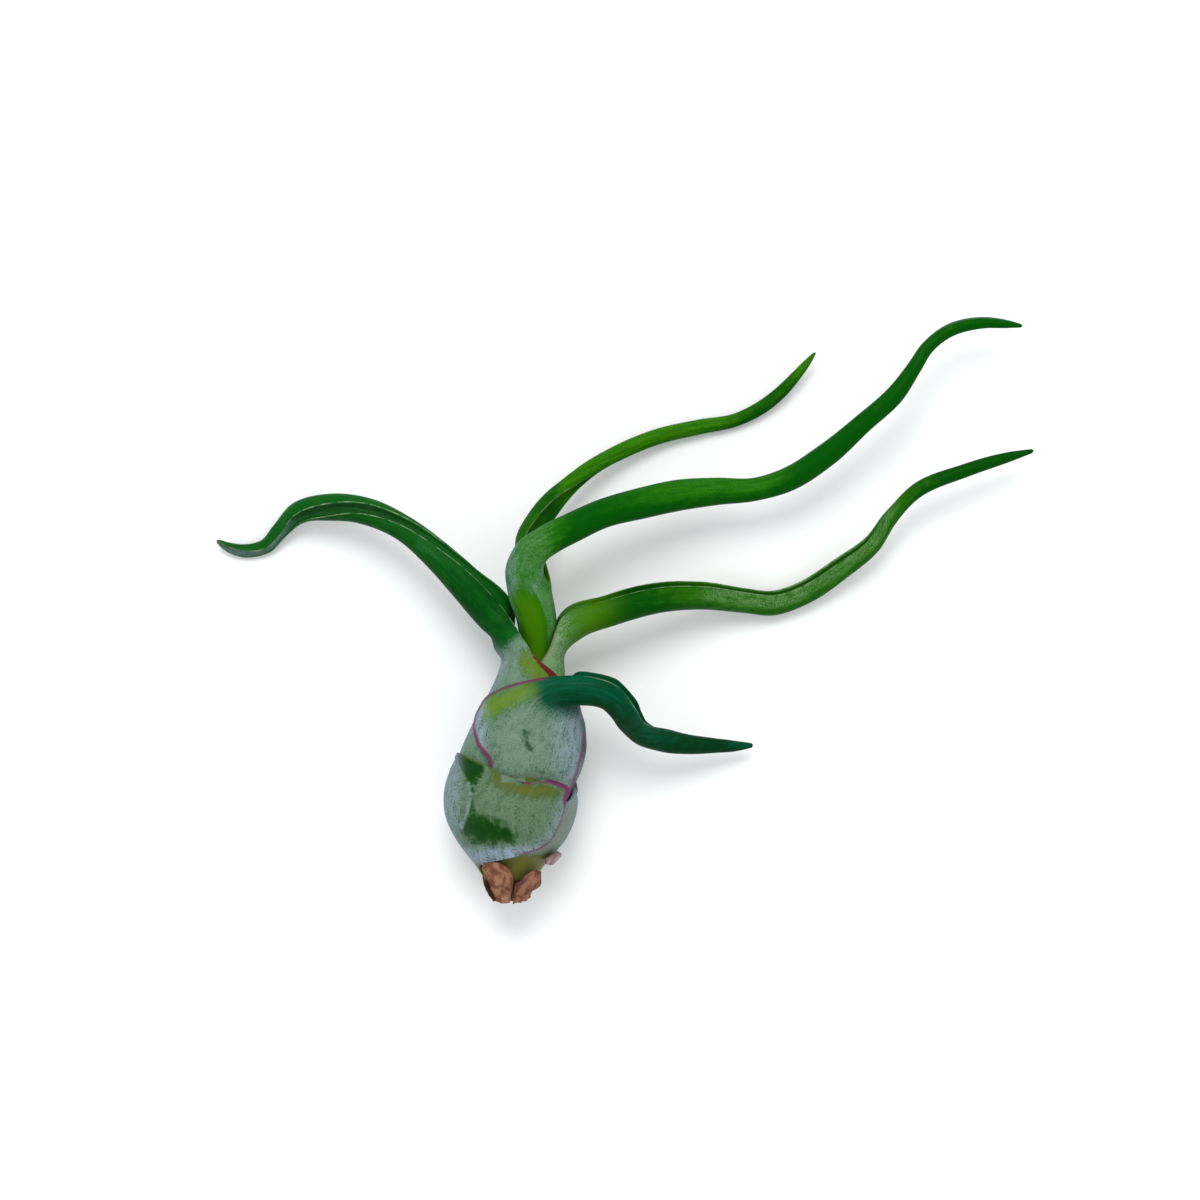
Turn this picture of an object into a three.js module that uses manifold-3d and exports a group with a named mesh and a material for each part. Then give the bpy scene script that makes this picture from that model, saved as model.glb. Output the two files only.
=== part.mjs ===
// An air plant of the bulbous kind, lifted from its perch and laid on its side.
// Eight leaves grow from one short stem. The lower part of a leaf is a broad sheath, and the sheaths
// wrap over each other like the layers of an onion and make the swollen bulb. Five leaves roll into
// a narrow channelled blade above the sheath, which winds to a point. The two oldest end in a short
// horn, and the youngest is still a closed spear. Dry brown scales hold to the foot of the stem.
//
// Millimetres. +Z is up from the surface it lies on, and +Y runs from the foot towards the blades.
// The origin is the small flat spot under the bulb on which the plant rests.

import * as THREE from 'three';
import Module from 'manifold-3d';
import { mergeVertices } from 'three/addons/utils/BufferGeometryUtils.js';

const wasm = await Module();
wasm.setup();

// Driving dimensions
const BULB_HEIGHT = 11.2; // middle of the bulb above the surface
const SHEATH_WALL = 0.8;
const BLADE_WALL = 1.0;
const SCALE_WALL = 0.65;
const SLIT_SHARE = 0.22; // width left of a blade's channel where the blade is thin
const LIP_BULGE = 0.18; // how far a rounded margin stands out, as a share of the wall
const THINNER_EDGE = 0.35; // share of the wall that a leaf loses at its margins
const POINTS_ACROSS = 13;
const LONGEST_STEP = 4.2; // between two cross-sections
const LARGEST_TURN = THREE.MathUtils.degToRad(16);

// Smooth curves

// A smooth curve through keys of [position, value, value, ...], as a function of the position.
function through(keys) {
  const slopeBetween = (a, b, k) => (b[k] - a[k]) / (b[0] - a[0]);
  const slopes = keys.map((key, i) => {
    const before = keys[i - 1];
    const after = keys[i + 1];
    return key.map((_, k) => {
      if (!before) return slopeBetween(key, after, k);
      if (!after) return slopeBetween(before, key, k);
      const left = key[0] - before[0];
      const right = after[0] - key[0];
      const steep = slopeBetween(before, key, k) * right + slopeBetween(key, after, k) * left;
      return steep / (left + right);
    });
  });
  return (position) => {
    const at = THREE.MathUtils.clamp(position, keys[0][0], keys[keys.length - 1][0]);
    const i = Math.max(0, keys.findIndex((key) => key[0] >= at) - 1);
    const width = keys[i + 1][0] - keys[i][0];
    const t = (at - keys[i][0]) / width;
    const rise = t * t * (3 - 2 * t);
    const leave = t * (1 - t) * (1 - t) * width;
    const arrive = t * t * (t - 1) * width;
    return keys[i].slice(1).map((value, n) => {
      const k = n + 1;
      const between = value + (keys[i + 1][k] - value) * rise;
      return between + slopes[i][k] * leave + slopes[i + 1][k] * arrive;
    });
  };
}

// The middle line of the bulb and neck: [y, x, z]
const bulbAxis = through([
  [-16.5, -0.5, 10.4], [-9, -0.2, 10.9], [0, -0.1, BULB_HEIGHT], [3.2, 0.1, BULB_HEIGHT],
  [6.4, 1.1, BULB_HEIGHT], [9.6, 2.0, BULB_HEIGHT], [12.8, 2.7, 11.2], [16, 3.0, 11.1],
  [24, 3.4, 10.9], [32, 3.4, 11.4],
]);

// A leaf is a stack of open rings, from its foot to its tip. Every ring has the same number of
// points, from the low margin (across = -1) over the middle of the leaf to the high margin (1).

const ACROSS = Array.from({ length: POINTS_ACROSS }, (_, j) => (2 * j) / (POINTS_ACROSS - 1) - 1);

// One ring of a sheath, from [angle, y, lift] at its low margin, its middle and its high margin. The
// angle goes round the bulb's axis in degrees, 0 at +X and 90 on top, and the lift is outwards.
function sheathRing(leaf, [low, middle, high]) {
  const place = (v) => middle.map((value, k) => {
    const half = (high[k] - low[k]) / 2;
    const bow = (high[k] + low[k]) / 2 - value;
    return value + v * half + v * v * bow;
  });
  return ACROSS.map((v) => {
    const [degrees, y, lift] = place(v);
    const angle = THREE.MathUtils.degToRad(degrees);
    const [axisX, axisZ] = bulbAxis(y);
    const [radius, shiftX, shiftZ] = leaf.layer(y);
    const x = axisX + shiftX + (radius + lift) * Math.cos(angle);
    return new THREE.Vector3(x, y, axisZ + shiftZ + (radius + lift) * Math.sin(angle));
  });
}

// One ring of a blade, square to its path. groove is the side to which the channel opens, in degrees
// from straight up, turning to the left of the path; span is half of the arc that the blade fills.
function bladeRing([x, y, z, radius, groove, span], tangent) {
  const left = new THREE.Vector3(0, 0, 1).cross(tangent).normalize();
  const up = tangent.clone().cross(left);
  const turn = THREE.MathUtils.degToRad(groove);
  const back = up.multiplyScalar(-Math.cos(turn)).addScaledVector(left, -Math.sin(turn));
  const side = back.clone().cross(tangent);
  return ACROSS.map((v) => {
    const angle = THREE.MathUtils.degToRad(v * span);
    return new THREE.Vector3(x, y, z)
      .addScaledVector(back, radius * Math.cos(angle))
      .addScaledVector(side, radius * Math.sin(angle));
  });
}

// The leaf's outer skin as one smooth function of the distance from its foot along the middle line:
// it gives the ring's points, one after the other, and the wall there as the last number.
function skinOf(leaf) {
  const rings = leaf.sheath.map((station) => ({
    points: sheathRing(leaf, station),
    wall: leaf.wall,
  }));
  const middle = ACROSS.indexOf(0);
  if (leaf.blade) {
    const throat = rings[rings.length - 1].points;
    const centre = throat.reduce((sum, p) => sum.add(p), new THREE.Vector3()).divideScalar(throat.length);
    const stops = leaf.blade.map(([x, y, z]) => new THREE.Vector3(x, y, z));
    const path = new THREE.CatmullRomCurve3([centre, ...stops], false, 'centripetal');
    leaf.blade.forEach((station, i) => {
      const tangent = path.getTangent((i + 1) / stops.length);
      const wall = Math.min(BLADE_WALL, station[3] * (1 - SLIT_SHARE));
      rings.push({ points: bladeRing(station, tangent), wall });
    });
  }
  let run = 0;
  const keys = rings.map(({ points, wall }, i) => {
    if (i > 0) run += points[middle].distanceTo(rings[i - 1].points[middle]);
    return [run, ...points.flatMap((p) => p.toArray()), wall];
  });
  return { at: through(keys), length: run };
}

// Where the cross-sections go: closer together where the leaf bends.
function stationsAlong(skin) {
  const middle = 3 * ACROSS.indexOf(0);
  const pointAt = (run) => new THREE.Vector3(...skin.at(run).slice(middle, middle + 3));
  const fine = Math.ceil(skin.length / 0.4);
  const places = [0];
  let before = pointAt(0);
  let heading = null;
  let spent = 0;
  for (let i = 1; i <= fine; i += 1) {
    const run = (skin.length * i) / fine;
    const here = pointAt(run);
    const step = here.clone().sub(before);
    const turn = heading ? heading.angleTo(step) : 0;
    spent += step.length() / LONGEST_STEP + turn / LARGEST_TURN;
    if (spent >= 1) {
      places.push(run);
      spent = 0;
    }
    heading = step;
    before = here;
  }
  const last = places[places.length - 1];
  if (skin.length - last < 0.8) places.pop();
  return [...places, skin.length];
}

// Gives the skin its wall and closes it: a solid leaf, whose margins are rounded.
function leafSolid(leaf) {
  const skin = skinOf(leaf);
  const rows = stationsAlong(skin).map((run) => {
    const numbers = skin.at(run);
    const outer = ACROSS.map((_, j) => new THREE.Vector3(...numbers.slice(3 * j, 3 * j + 3)));
    return { outer, wall: numbers[numbers.length - 1] };
  });
  const lastColumn = POINTS_ACROSS - 1;
  const loops = rows.map(({ outer, wall }, i) => {
    const previous = rows[Math.max(0, i - 1)].outer;
    const next = rows[Math.min(rows.length - 1, i + 1)].outer;
    const inner = outer.map((point, j) => {
      const along = next[j].clone().sub(previous[j]);
      const across = outer[Math.min(lastColumn, j + 1)].clone().sub(outer[Math.max(0, j - 1)]);
      const depth = wall * (1 - THINNER_EDGE * ACROSS[j] ** 6);
      return point.clone().addScaledVector(along.cross(across).normalize(), -depth);
    });
    const lip = (j, inward) => {
      const outwards = outer[j].clone().sub(outer[j + inward]).normalize();
      return outer[j].clone().lerp(inner[j], 0.5).addScaledVector(outwards, wall * LIP_BULGE);
    };
    return [...outer, lip(lastColumn, -1), ...inner.toReversed(), lip(0, 1)];
  });
  return solidFromLoops(loops);
}

// Closes a stack of loops of equally many points into a solid, with a flat foot and a pointed end.
function solidFromLoops(loops) {
  const size = loops[0].length;
  const half = size / 2 - 1;
  const tip = loops.pop().reduce((sum, p) => sum.add(p), new THREE.Vector3()).divideScalar(size);
  const vertices = [...loops.flat(), tip];
  const triangles = [];
  const quad = (a, b, c, d) => triangles.push(a, b, c, a, c, d);
  for (let i = 0; i + 1 < loops.length; i += 1) {
    for (let j = 0; j < size; j += 1) {
      const next = (j + 1) % size;
      quad(i * size + j, (i + 1) * size + j, (i + 1) * size + next, i * size + next);
    }
  }
  const top = (loops.length - 1) * size;
  for (let j = 0; j < size; j += 1) triangles.push(top + j, vertices.length - 1, top + ((j + 1) % size));
  for (let j = 0; j + 1 < half; j += 1) quad(j, j + 1, size - 3 - j, size - 2 - j);
  triangles.push(half - 1, half, half + 1);
  triangles.push(size - 1, 0, size - 2);
  return manifoldFrom(vertices.flatMap((p) => p.toArray()), triangles);
}

function manifoldFrom(positions, triangles) {
  return new wasm.Manifold(new wasm.Mesh({
    numProp: 3,
    vertProperties: new Float32Array(positions),
    triVerts: new Uint32Array(triangles),
  }));
}

function manifoldFromGeometry(geometry) {
  geometry.deleteAttribute('normal');
  geometry.deleteAttribute('uv');
  const merged = mergeVertices(geometry, 1e-4);
  return manifoldFrom(merged.attributes.position.array, merged.index.array);
}

function geometryFrom(solid) {
  const { vertProperties, triVerts } = solid.getMesh();
  const geometry = new THREE.BufferGeometry();
  geometry.setAttribute('position', new THREE.BufferAttribute(new Float32Array(vertProperties), 3));
  geometry.setIndex(new THREE.BufferAttribute(new Uint32Array(triVerts), 1));
  geometry.computeVertexNormals();
  return geometry;
}

// The leaves, oldest and outermost first. layer: [y, radius, shift in x, shift in z] of the sheath's
// outside. sheath and blade: rows as sheathRing and bladeRing take them.

const leafLowerRight = {
  wall: SHEATH_WALL,
  layer: through([
    [-12.9, 3.9, 0, 0], [-11.2, 4.9, 0, 0], [-9.6, 6.2, 0, 0], [-8, 7.5, 0, -0.1],
    [-6.4, 8.8, -0.1, -0.4], [-4.8, 9.8, -0.2, -0.6], [-3.2, 10.4, -0.3, -0.7],
    [-1.6, 10.7, -0.3, -0.7], [0, 10.7, -0.3, -0.7], [2, 10.5, -0.3, -0.7], [6, 10.2, -0.1, -0.6],
    [10, 10.0, 0, -0.4],
  ]),
  sheath: [
    [[-138, -12.9, 0], [4, -12.9, 0], [148, -12.9, 0]],
    [[-140, -10.8, 0], [2, -10.9, 0], [148, -10.7, 0]],
    [[-138, -8.4, 0], [-14, -8.8, 0], [112, -9.3, 0]],
    [[-134, -5, 0], [-36, -5.6, 0], [66, -6.4, 0.1]],
    [[-132, -1.6, 0], [-43, -1.8, 0], [48, -1.8, 0.5]],
    [[-126, 0.4, 0], [-45, 0.6, 0], [32, 0.0, 0.5]],
    [[-106, 2.0, 0], [-45, 2.4, 0], [8, 1.2, 0.4]],
    [[-80, 3.9, 0.1], [-45, 4.6, 0.3], [-16, 3.6, 0.2]],
    [[-58, 6.6, 0.3], [-44, 6.9, 0.6], [-32, 6.6, 0.4]],
    [[-45.5, 8.6, 0.9], [-44, 8.7, 1.0], [-42.5, 8.6, 0.9]],
  ],
};

const leafLowerLeft = {
  wall: SHEATH_WALL,
  layer: through([
    [-12.7, 3.8, 0, 0], [-11.6, 4.5, 0, 0], [-10.4, 5.5, 0, 0.1], [-9.6, 6.3, 0, 0.2], [-8.8, 6.9, 0, 0.3],
    [-8, 7.6, 0, 0.5], [-6.4, 8.8, 0.1, 0.7], [-4.8, 9.7, 0.1, 0.9], [-3.2, 10.4, 0.1, 0.9],
    [-1.6, 10.8, 0.2, 0.9], [0, 11.0, 0.2, 0.9], [2, 10.9, 0.2, 0.9], [4, 10.6, 0.1, 0.9],
    [6, 10.3, 0, 0.9], [8, 10.1, 0, 0.8],
  ]),
  sheath: [
    [[155, -12.7, 0], [180, -12.7, 0], [206, -12.7, 0]],
    [[152, -10.4, 0.4], [180, -10.2, 0], [207, -10.2, 0]],
    [[122, -9.8, 0.9], [172, -9.0, 0], [209, -8.8, 0]],
    [[84, -8.7, 1.0], [162, -7.5, 0], [212, -7.3, 0]],
    [[54, -7.1, 0.8], [156, -5.6, 0], [214, -5.6, 0]],
    [[43, -3.4, 0.4], [151, -2.8, 0], [214, -2.8, 0]],
    [[40, 0.4, 0.1], [147, 0, 0], [212, 0.3, 0]],
    [[38.5, 2.4, 0], [142, 1.7, 0], [206, 2.0, 0]],
    [[56, 3.4, 0.1], [139, 2.9, 0], [197, 3.3, 0]],
    [[82, 3.3, 0.3], [138, 4.1, 0], [187, 4.5, 0]],
    [[101, 4.5, 0.5], [139, 5.2, 0.2], [177, 5.5, 0]],
    [[116, 5.8, 0.5], [143, 6.2, 0.6], [168, 6.4, 0.1]],
    [[132, 6.7, 0.7], [148, 7.0, 1.0], [161, 7.1, 0.6]],
    [[149, 7.7, 1.1], [151, 7.8, 1.2], [153, 7.8, 1.1]],
  ],
};

const leafHooked = {
  wall: SHEATH_WALL,
  layer: through([
    [-10.4, 4.2, 0, 0], [-8, 5.8, 0, 0.2], [-6, 6.9, 0, 0.3], [-4, 7.9, 0, 0.5], [-2, 8.7, 0, 0.6],
    [0, 9.0, 0.1, 0.7], [2, 9.6, 0.2, 0.7], [4, 10.2, 0.2, 0.6], [6, 10.3, 0.2, 0.6],
    [8, 10.1, 0.2, 0.6], [10, 9.7, 0.1, 0.6], [12, 9.1, 0.1, 0.6], [14, 8.4, 0, 0.6],
    [16, 7.7, 0, 0.6], [18, 7.0, 0, 0.6], [20, 6.4, 0, 0.5],
  ]),
  sheath: [
    [[30, -10.4, 0], [65, -10.4, 0], [100, -10.4, 0]],
    [[28, -6.5, 0], [66, -6.5, 0], [104, -6.5, 0]],
    [[20, -2, 0], [66, -2, 0], [110, -2, 0]],
    [[6, 2, 0], [66, 2.4, 0], [114, 3, 0]],
    [[3, 6, 0], [67, 6.6, 0], [119, 6.8, 0.15]],
    [[2, 9.5, 0], [68, 9.3, 0], [136, 9.3, 0.6]],
    [[-8, 12.6, 0], [67, 11.2, 0], [154, 12.2, 0.7]],
    [[-16, 15.2, 0], [64, 12.6, 0], [159, 14.6, 0.6]],
    [[-12, 17.2, 0], [58, 13.7, 0.1], [148, 16.8, 0.6]],
    [[8, 18.4, 0], [52, 14.6, 0.2], [124, 18.2, 0.6]],
  ],
  blade: [
    [11.6, 17.95, 18.0, 2.75, 76, 150],
    [15.4, 17.1, 17.8, 2.6, 66, 156],
    [17.6, 15.0, 16.2, 2.42, 62, 156],
    [18.9, 12.8, 13.8, 2.2, 66, 158],
    [21.0, 10.6, 11.2, 1.95, 84, 160],
    [24.7, 9.4, 8.8, 1.85, 112, 160],
    [28.6, 8.8, 6.9, 1.55, 125, 160],
    [32.4, 8.6, 5.2, 1.2, 130, 160],
    [36.2, 8.5, 3.8, 0.8, 130, 160],
    [38.8, 8.6, 3.2, 0.3, 130, 160],
  ],
};

const leafLeft = {
  wall: SHEATH_WALL,
  layer: through([
    [-9.4, 3.4, 0, 0], [-8, 4.4, 0, 0], [-6, 5.8, 0, 0], [-4, 6.9, 0, 0], [-2, 7.7, 0, 0.1],
    [0, 8.1, 0, 0.2], [2, 8.3, 0, 0.2], [4, 8.4, 0, 0.2], [6, 8.4, 0, 0.2], [8, 8.3, 0, 0.2],
    [10, 8.0, 0, 0.2], [12, 7.5, 0, 0.2], [14, 6.9, 0, 0.2], [16, 6.3, 0, 0.1], [18, 5.75, 0, 0.1],
    [20, 5.3, 0, 0], [22, 5.0, 0, 0], [24, 5.0, 0, 0], [27, 5.2, 0, 0],
  ]),
  sheath: [
    [[60, -9.4, 0], [170, -9.4, 0], [280, -9.4, 0]],
    [[30, -5.5, 0], [170, -5.5, 0.2], [285, -5.5, 0]],
    [[12, 0, 0.1], [170, 0, 0.9], [288, 0, 0]],
    [[8, 6, 0.1], [170, 6, 1.35], [288, 6, 0]],
    [[12, 12, 0.1], [170, 12, 1.45], [286, 12, 0]],
    [[24, 17, 0.4], [170, 17, 0.8], [280, 16.8, 0]],
    [[52, 20.6, 0.3], [169, 20.4, 0.3], [266, 20, 0]],
    [[84, 22.8, 0.1], [166, 22.4, 0.1], [252, 21.8, 0]],
    [[104, 25.3, 0], [160, 24.4, 1.2], [236, 23.2, 0.4]],
  ],
  blade: [
    [-2.3, 29.1, 11.2, 3.12, -62, 150],
    [-7.98, 35.3, 12.0, 2.8, -60, 155],
    [-12.2, 39.4, 11.6, 2.4, -46, 158],
    [-16.9, 43.2, 10.4, 2.1, -30, 158],
    [-23.3, 46.2, 8.0, 2.2, -8, 156],
    [-29.1, 46.9, 5.6, 2.2, 14, 152],
    [-34.6, 45.9, 3.6, 1.8, 34, 150],
    [-37.6, 43.0, 2.1, 1.35, 52, 150],
    [-39.9, 40.6, 1.33, 1.2, 56, 140],
    [-43.2, 39.9, 1.13, 1.1, 52, 130],
    [-46.0, 40.6, 1.6, 0.75, 48, 130],
    [-47.7, 41.6, 2.2, 0.3, 46, 130],
  ],
};

const leafRight = {
  wall: SHEATH_WALL,
  layer: through([
    [-8.4, 2.8, 0, 0], [-6, 4.4, 0.1, 0.1], [-4, 5.3, 0.3, 0.1], [-2, 6.0, 0.5, 0.2],
    [0, 6.4, 0.6, 0.3], [4, 6.7, 0.6, 0.3], [8, 6.6, 0.6, 0.3], [12, 5.9, 0.7, 0.3],
    [16, 4.8, 0.8, 0.2], [20, 4.15, 1.1, 0], [22, 4.05, 1.1, 0], [24, 4.0, 1.1, 0],
    [27, 4.1, 1.1, 0],
  ]),
  sheath: [
    [[-100, -8.4, 0], [0, -8.4, 0], [100, -8.4, 0]],
    [[-104, -4, 0], [0, -4, 0], [100, -4, 0]],
    [[-108, 3, 0], [0, 3, 0], [100, 3, 0]],
    [[-108, 10, 0], [0, 10, 0], [98, 10, 0]],
    [[-106, 16, 0], [0, 16, 0], [96, 16, 0]],
    [[-100, 20.5, 0], [0, 20.5, 0], [90, 21.5, 0]],
    [[-84, 22.6, 0], [0, 23.2, 0], [68, 24.0, 0]],
  ],
  blade: [
    [9.5, 28.0, 11.3, 2.75, 78, 146],
    [15.6, 30.3, 11.6, 2.55, 64, 158],
    [23.7, 32.4, 9.8, 2.45, 60, 160],
    [30.4, 32.7, 6.8, 2.25, 60, 160],
    [37.4, 31.9, 3.5, 2.0, 60, 160],
    [41.9, 31.5, 2.06, 2.0, 58, 160],
    [46.8, 33.1, 2.3, 1.9, 54, 160],
    [53.0, 37.2, 4.0, 1.8, 50, 160],
    [58.0, 41.2, 5.6, 1.5, 56, 160],
    [60.7, 45.2, 6.8, 1.25, 80, 160],
    [64.6, 49.3, 7.6, 1.2, 110, 160],
    [72.8, 52.8, 7.6, 1.1, 130, 160],
    [79.9, 55.0, 6.8, 0.8, 130, 160],
    [83.8, 56.0, 6.3, 0.3, 130, 160],
  ],
};

const leafCentre = {
  wall: 0.7,
  layer: through([
    [-7.4, 2.3, 0, 0], [-5, 3.3, 0.1, 0], [-2, 4.4, 0.3, 0.1], [2, 5.2, 0.4, 0.2],
    [6, 5.3, 0.4, 0.2], [10, 5.0, 0.4, 0.2], [14, 4.1, 0.5, 0.2], [18, 3.15, 0.6, 0.2],
    [21, 2.7, 0.7, 0.2], [24, 2.65, 0.6, 0.3], [27, 2.95, 0.6, 0.8], [30, 3.45, 0.55, 1.5],
  ]),
  sheath: [
    [[-40, -7.4, 0], [95, -7.4, 0], [230, -7.4, 0]],
    [[-44, -2, 0], [95, -2, 0], [234, -2, 0]],
    [[-44, 6, 0], [95, 6, 0], [234, 6, 0]],
    [[-40, 13, 0], [97, 13, 0], [232, 13, 0]],
    [[-32, 19, 0], [98, 19, 0], [228, 19, 0]],
    [[-22, 24, 0], [100, 24, 0], [220, 24, 0]],
    [[-12, 28.6, 0], [102, 28.6, 0], [210, 28.6, 0]],
  ],
  blade: [
    [2.85, 33.6, 13.9, 3.5, 202, 100],
    [2.35, 36.6, 15.4, 3.35, 216, 98],
    [3.0, 39.2, 16.2, 2.8, 218, 120],
    [5.6, 41.4, 16.1, 2.5, 210, 146],
    [9.6, 43.5, 15.0, 2.42, 204, 158],
    [14.6, 45.8, 13.6, 2.35, 200, 160],
    [20.5, 47.4, 12.0, 2.5, 198, 160],
    [27.0, 48.8, 10.6, 2.5, 196, 160],
    [33.0, 49.4, 9.7, 2.2, 196, 160],
    [38.8, 49.7, 9.3, 1.88, 196, 160],
    [43.7, 51.1, 9.3, 1.95, 196, 160],
    [50.3, 55.2, 9.9, 1.92, 194, 160],
    [56.1, 60.2, 10.8, 1.6, 190, 160],
    [61.4, 65.0, 11.3, 1.5, 184, 160],
    [64.3, 69.1, 11.1, 1.2, 176, 160],
    [66.5, 72.4, 10.5, 1.08, 170, 160],
    [69.6, 74.9, 9.8, 1.08, 166, 160],
    [75.2, 76.4, 8.8, 0.96, 164, 160],
    [79.4, 76.2, 8.4, 0.66, 164, 160],
    [81.9, 75.9, 8.2, 0.25, 164, 160],
  ],
};

const leafRear = {
  wall: 0.6,
  layer: through([
    [-6.4, 1.8, 0, 0], [-4, 2.6, 0.1, 0], [0, 3.6, 0.3, 0.1], [4, 4.0, 0.4, 0.2],
    [8, 3.9, 0.4, 0.2], [12, 3.2, 0.5, 0.1], [16, 2.1, 0.6, 0], [20, 1.4, 0.8, -0.2],
    [24, 1.25, 0.8, -0.3], [28, 1.6, 0.9, -0.4],
  ]),
  sheath: [
    [[155, -6.4, 0], [280, -6.4, 0], [405, -6.4, 0]],
    [[152, 0, 0], [280, 0, 0], [408, 0, 0]],
    [[152, 7, 0], [280, 7, 0], [408, 7, 0]],
    [[154, 14, 0], [280, 14, 0], [406, 14, 0]],
    [[156, 20, 0], [278, 20, 0], [400, 20, 0]],
    [[152, 26, 0], [272, 26, 0], [392, 26, 0]],
  ],
  blade: [
    [4.3, 31.0, 10.1, 2.2, -2, 120],
    [3.9, 34.4, 9.8, 2.4, -12, 120],
    [3.0, 38.2, 9.5, 2.35, -24, 122],
    [2.85, 41.4, 9.2, 2.3, -34, 124],
    [4.5, 45.0, 8.3, 2.05, -42, 126],
    [6.6, 47.8, 7.4, 1.85, -48, 130],
    [9.0, 50.2, 6.4, 1.52, -58, 142],
    [12.0, 52.7, 5.1, 1.36, -78, 156],
    [16.3, 55.3, 3.6, 1.3, -96, 160],
    [23.7, 58.4, 2.0, 1.28, -102, 160],
    [30.2, 59.9, 1.27, 1.22, -104, 160],
    [36.2, 61.1, 1.12, 1.08, -104, 160],
    [39.9, 62.9, 1.3, 1.1, -104, 160],
    [42.7, 65.0, 1.8, 1.04, -104, 160],
    [45.6, 68.0, 2.6, 0.84, -104, 160],
    [47.6, 70.4, 3.2, 0.55, -104, 160],
    [48.8, 71.9, 3.6, 0.2, -104, 160],
  ],
};

// The youngest leaf is still a solid spear: [x, y, z, radius] along its path.
const leafYoungest = [
  [0.2, -4.0, 11.2, 0.35], [0.9, 0, 11.4, 0.6], [2.2, 6, 11.5, 1.0], [3.2, 12, 11.6, 0.95],
  [3.6, 17, 11.8, 0.6], [3.6, 21, 11.9, 0.5], [3.2, 25, 12.1, 0.5], [2.45, 28.5, 12.0, 0.5],
  [1.5, 31.2, 11.4, 0.5], [0.4, 33.4, 10.9, 0.45], [-0.9, 35.0, 10.8, 0.12],
];

// The dry scales, over the foot of the bulb: two in front, one behind and a small one on the right.
const scaleLayer = through([
  [-16.4, 2.3, 0, 0], [-15.6, 2.75, 0, 0], [-14.2, 3.5, 0, 0], [-12.9, 5.1, 0, 0],
  [-12.2, 5.6, 0, 0], [-11, 6.3, 0, 0], [-9.8, 7.3, 0, 0], [-8, 8.7, 0, 0],
]);

const scaleFront = {
  wall: SCALE_WALL,
  layer: scaleLayer,
  sheath: [
    [[86, -16.0, 0], [110, -16.2, 0], [134, -16.0, 0.1]],
    [[84, -14.2, 0.3], [106, -14.2, 0.3], [132, -14.2, 0.3]],
    [[84, -12.4, 0], [106, -12.4, 0], [130, -12.4, 0]],
    [[88, -11.2, 0.1], [109, -11.1, 0.2], [130, -11.2, 0.1]],
    [[95, -10.3, 0.2], [111, -10.2, 0.4], [126, -10.3, 0.2]],
    [[106, -9.8, 0.3], [112, -9.7, 0.5], [118, -9.8, 0.3]],
  ],
};

const scaleFrontRight = {
  wall: SCALE_WALL,
  layer: scaleLayer,
  sheath: [
    [[8, -15.7, 0], [42, -16.1, 0], [76, -16.2, 0]],
    [[12, -14.2, 0.2], [45, -14.3, 0.3], [77, -14.2, 0.2]],
    [[22, -12.9, 0], [49, -12.9, 0.1], [77, -12.9, 0]],
    [[34, -11.9, 0.1], [50, -11.7, 0.2], [67, -12.1, 0.1]],
    [[42, -11.2, 0.1], [48, -11.0, 0.2], [54, -11.2, 0.1]],
  ],
};

const scaleBehind = {
  wall: SCALE_WALL,
  layer: through([
    [-16.4, 2.3, 0, 0], [-15.2, 3.0, 0, 0], [-14, 3.9, 0, 0], [-12.8, 4.95, 0, 0],
    [-11.6, 5.95, 0, 0], [-10.4, 6.9, 0, 0],
  ]),
  sheath: [
    [[158, -16.1, 0], [244, -16.2, 0], [350, -16.0, 0]],
    [[174, -15.1, 0], [245, -15.1, 0], [342, -15.0, 0]],
    [[196, -14.1, 0], [247, -14.0, 0], [326, -14.0, 0]],
    [[210, -13.0, 0], [249, -12.8, 0], [306, -12.9, 0]],
    [[222, -11.9, 0], [251, -11.6, 0], [284, -11.9, 0]],
    [[238, -11.0, 0], [252, -10.7, 0], [266, -11.0, 0]],
  ],
};

const scaleSmall = {
  wall: SCALE_WALL,
  layer: scaleLayer,
  sheath: [
    [[10, -10.0, 0], [24, -10.2, 0], [38, -10.0, 0]],
    [[6, -9.4, 0], [24, -9.5, 0], [42, -9.4, 0]],
    [[9, -8.8, 0], [25, -8.7, 0.1], [40, -8.8, 0]],
    [[20, -8.3, 0.1], [25, -8.2, 0.1], [30, -8.3, 0.1]],
  ],
};

// The stem: a short woody peg inside the foot of the bulb, from which every leaf grows.
function stemSolid() {
  const profile = [
    [-16.2, 0], [-16.1, 1.1], [-15.4, 1.65], [-14.2, 2.0], [-12.8, 2.55], [-11.6, 2.7],
    [-10.4, 2.4], [-9.4, 2.0], [-8.4, 1.6], [-7.4, 1.25], [-6.4, 0.9], [-5.6, 0.6], [-5.4, 0],
  ];
  const shape = new THREE.LatheGeometry(profile.map(([y, radius]) => new THREE.Vector2(radius, y)), 14);
  const places = shape.attributes.position;
  for (let i = 0; i < places.count; i += 1) {
    const [x, z] = bulbAxis(places.getY(i));
    places.setX(i, places.getX(i) + x);
    places.setZ(i, places.getZ(i) + z);
  }
  return manifoldFromGeometry(shape);
}

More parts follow.
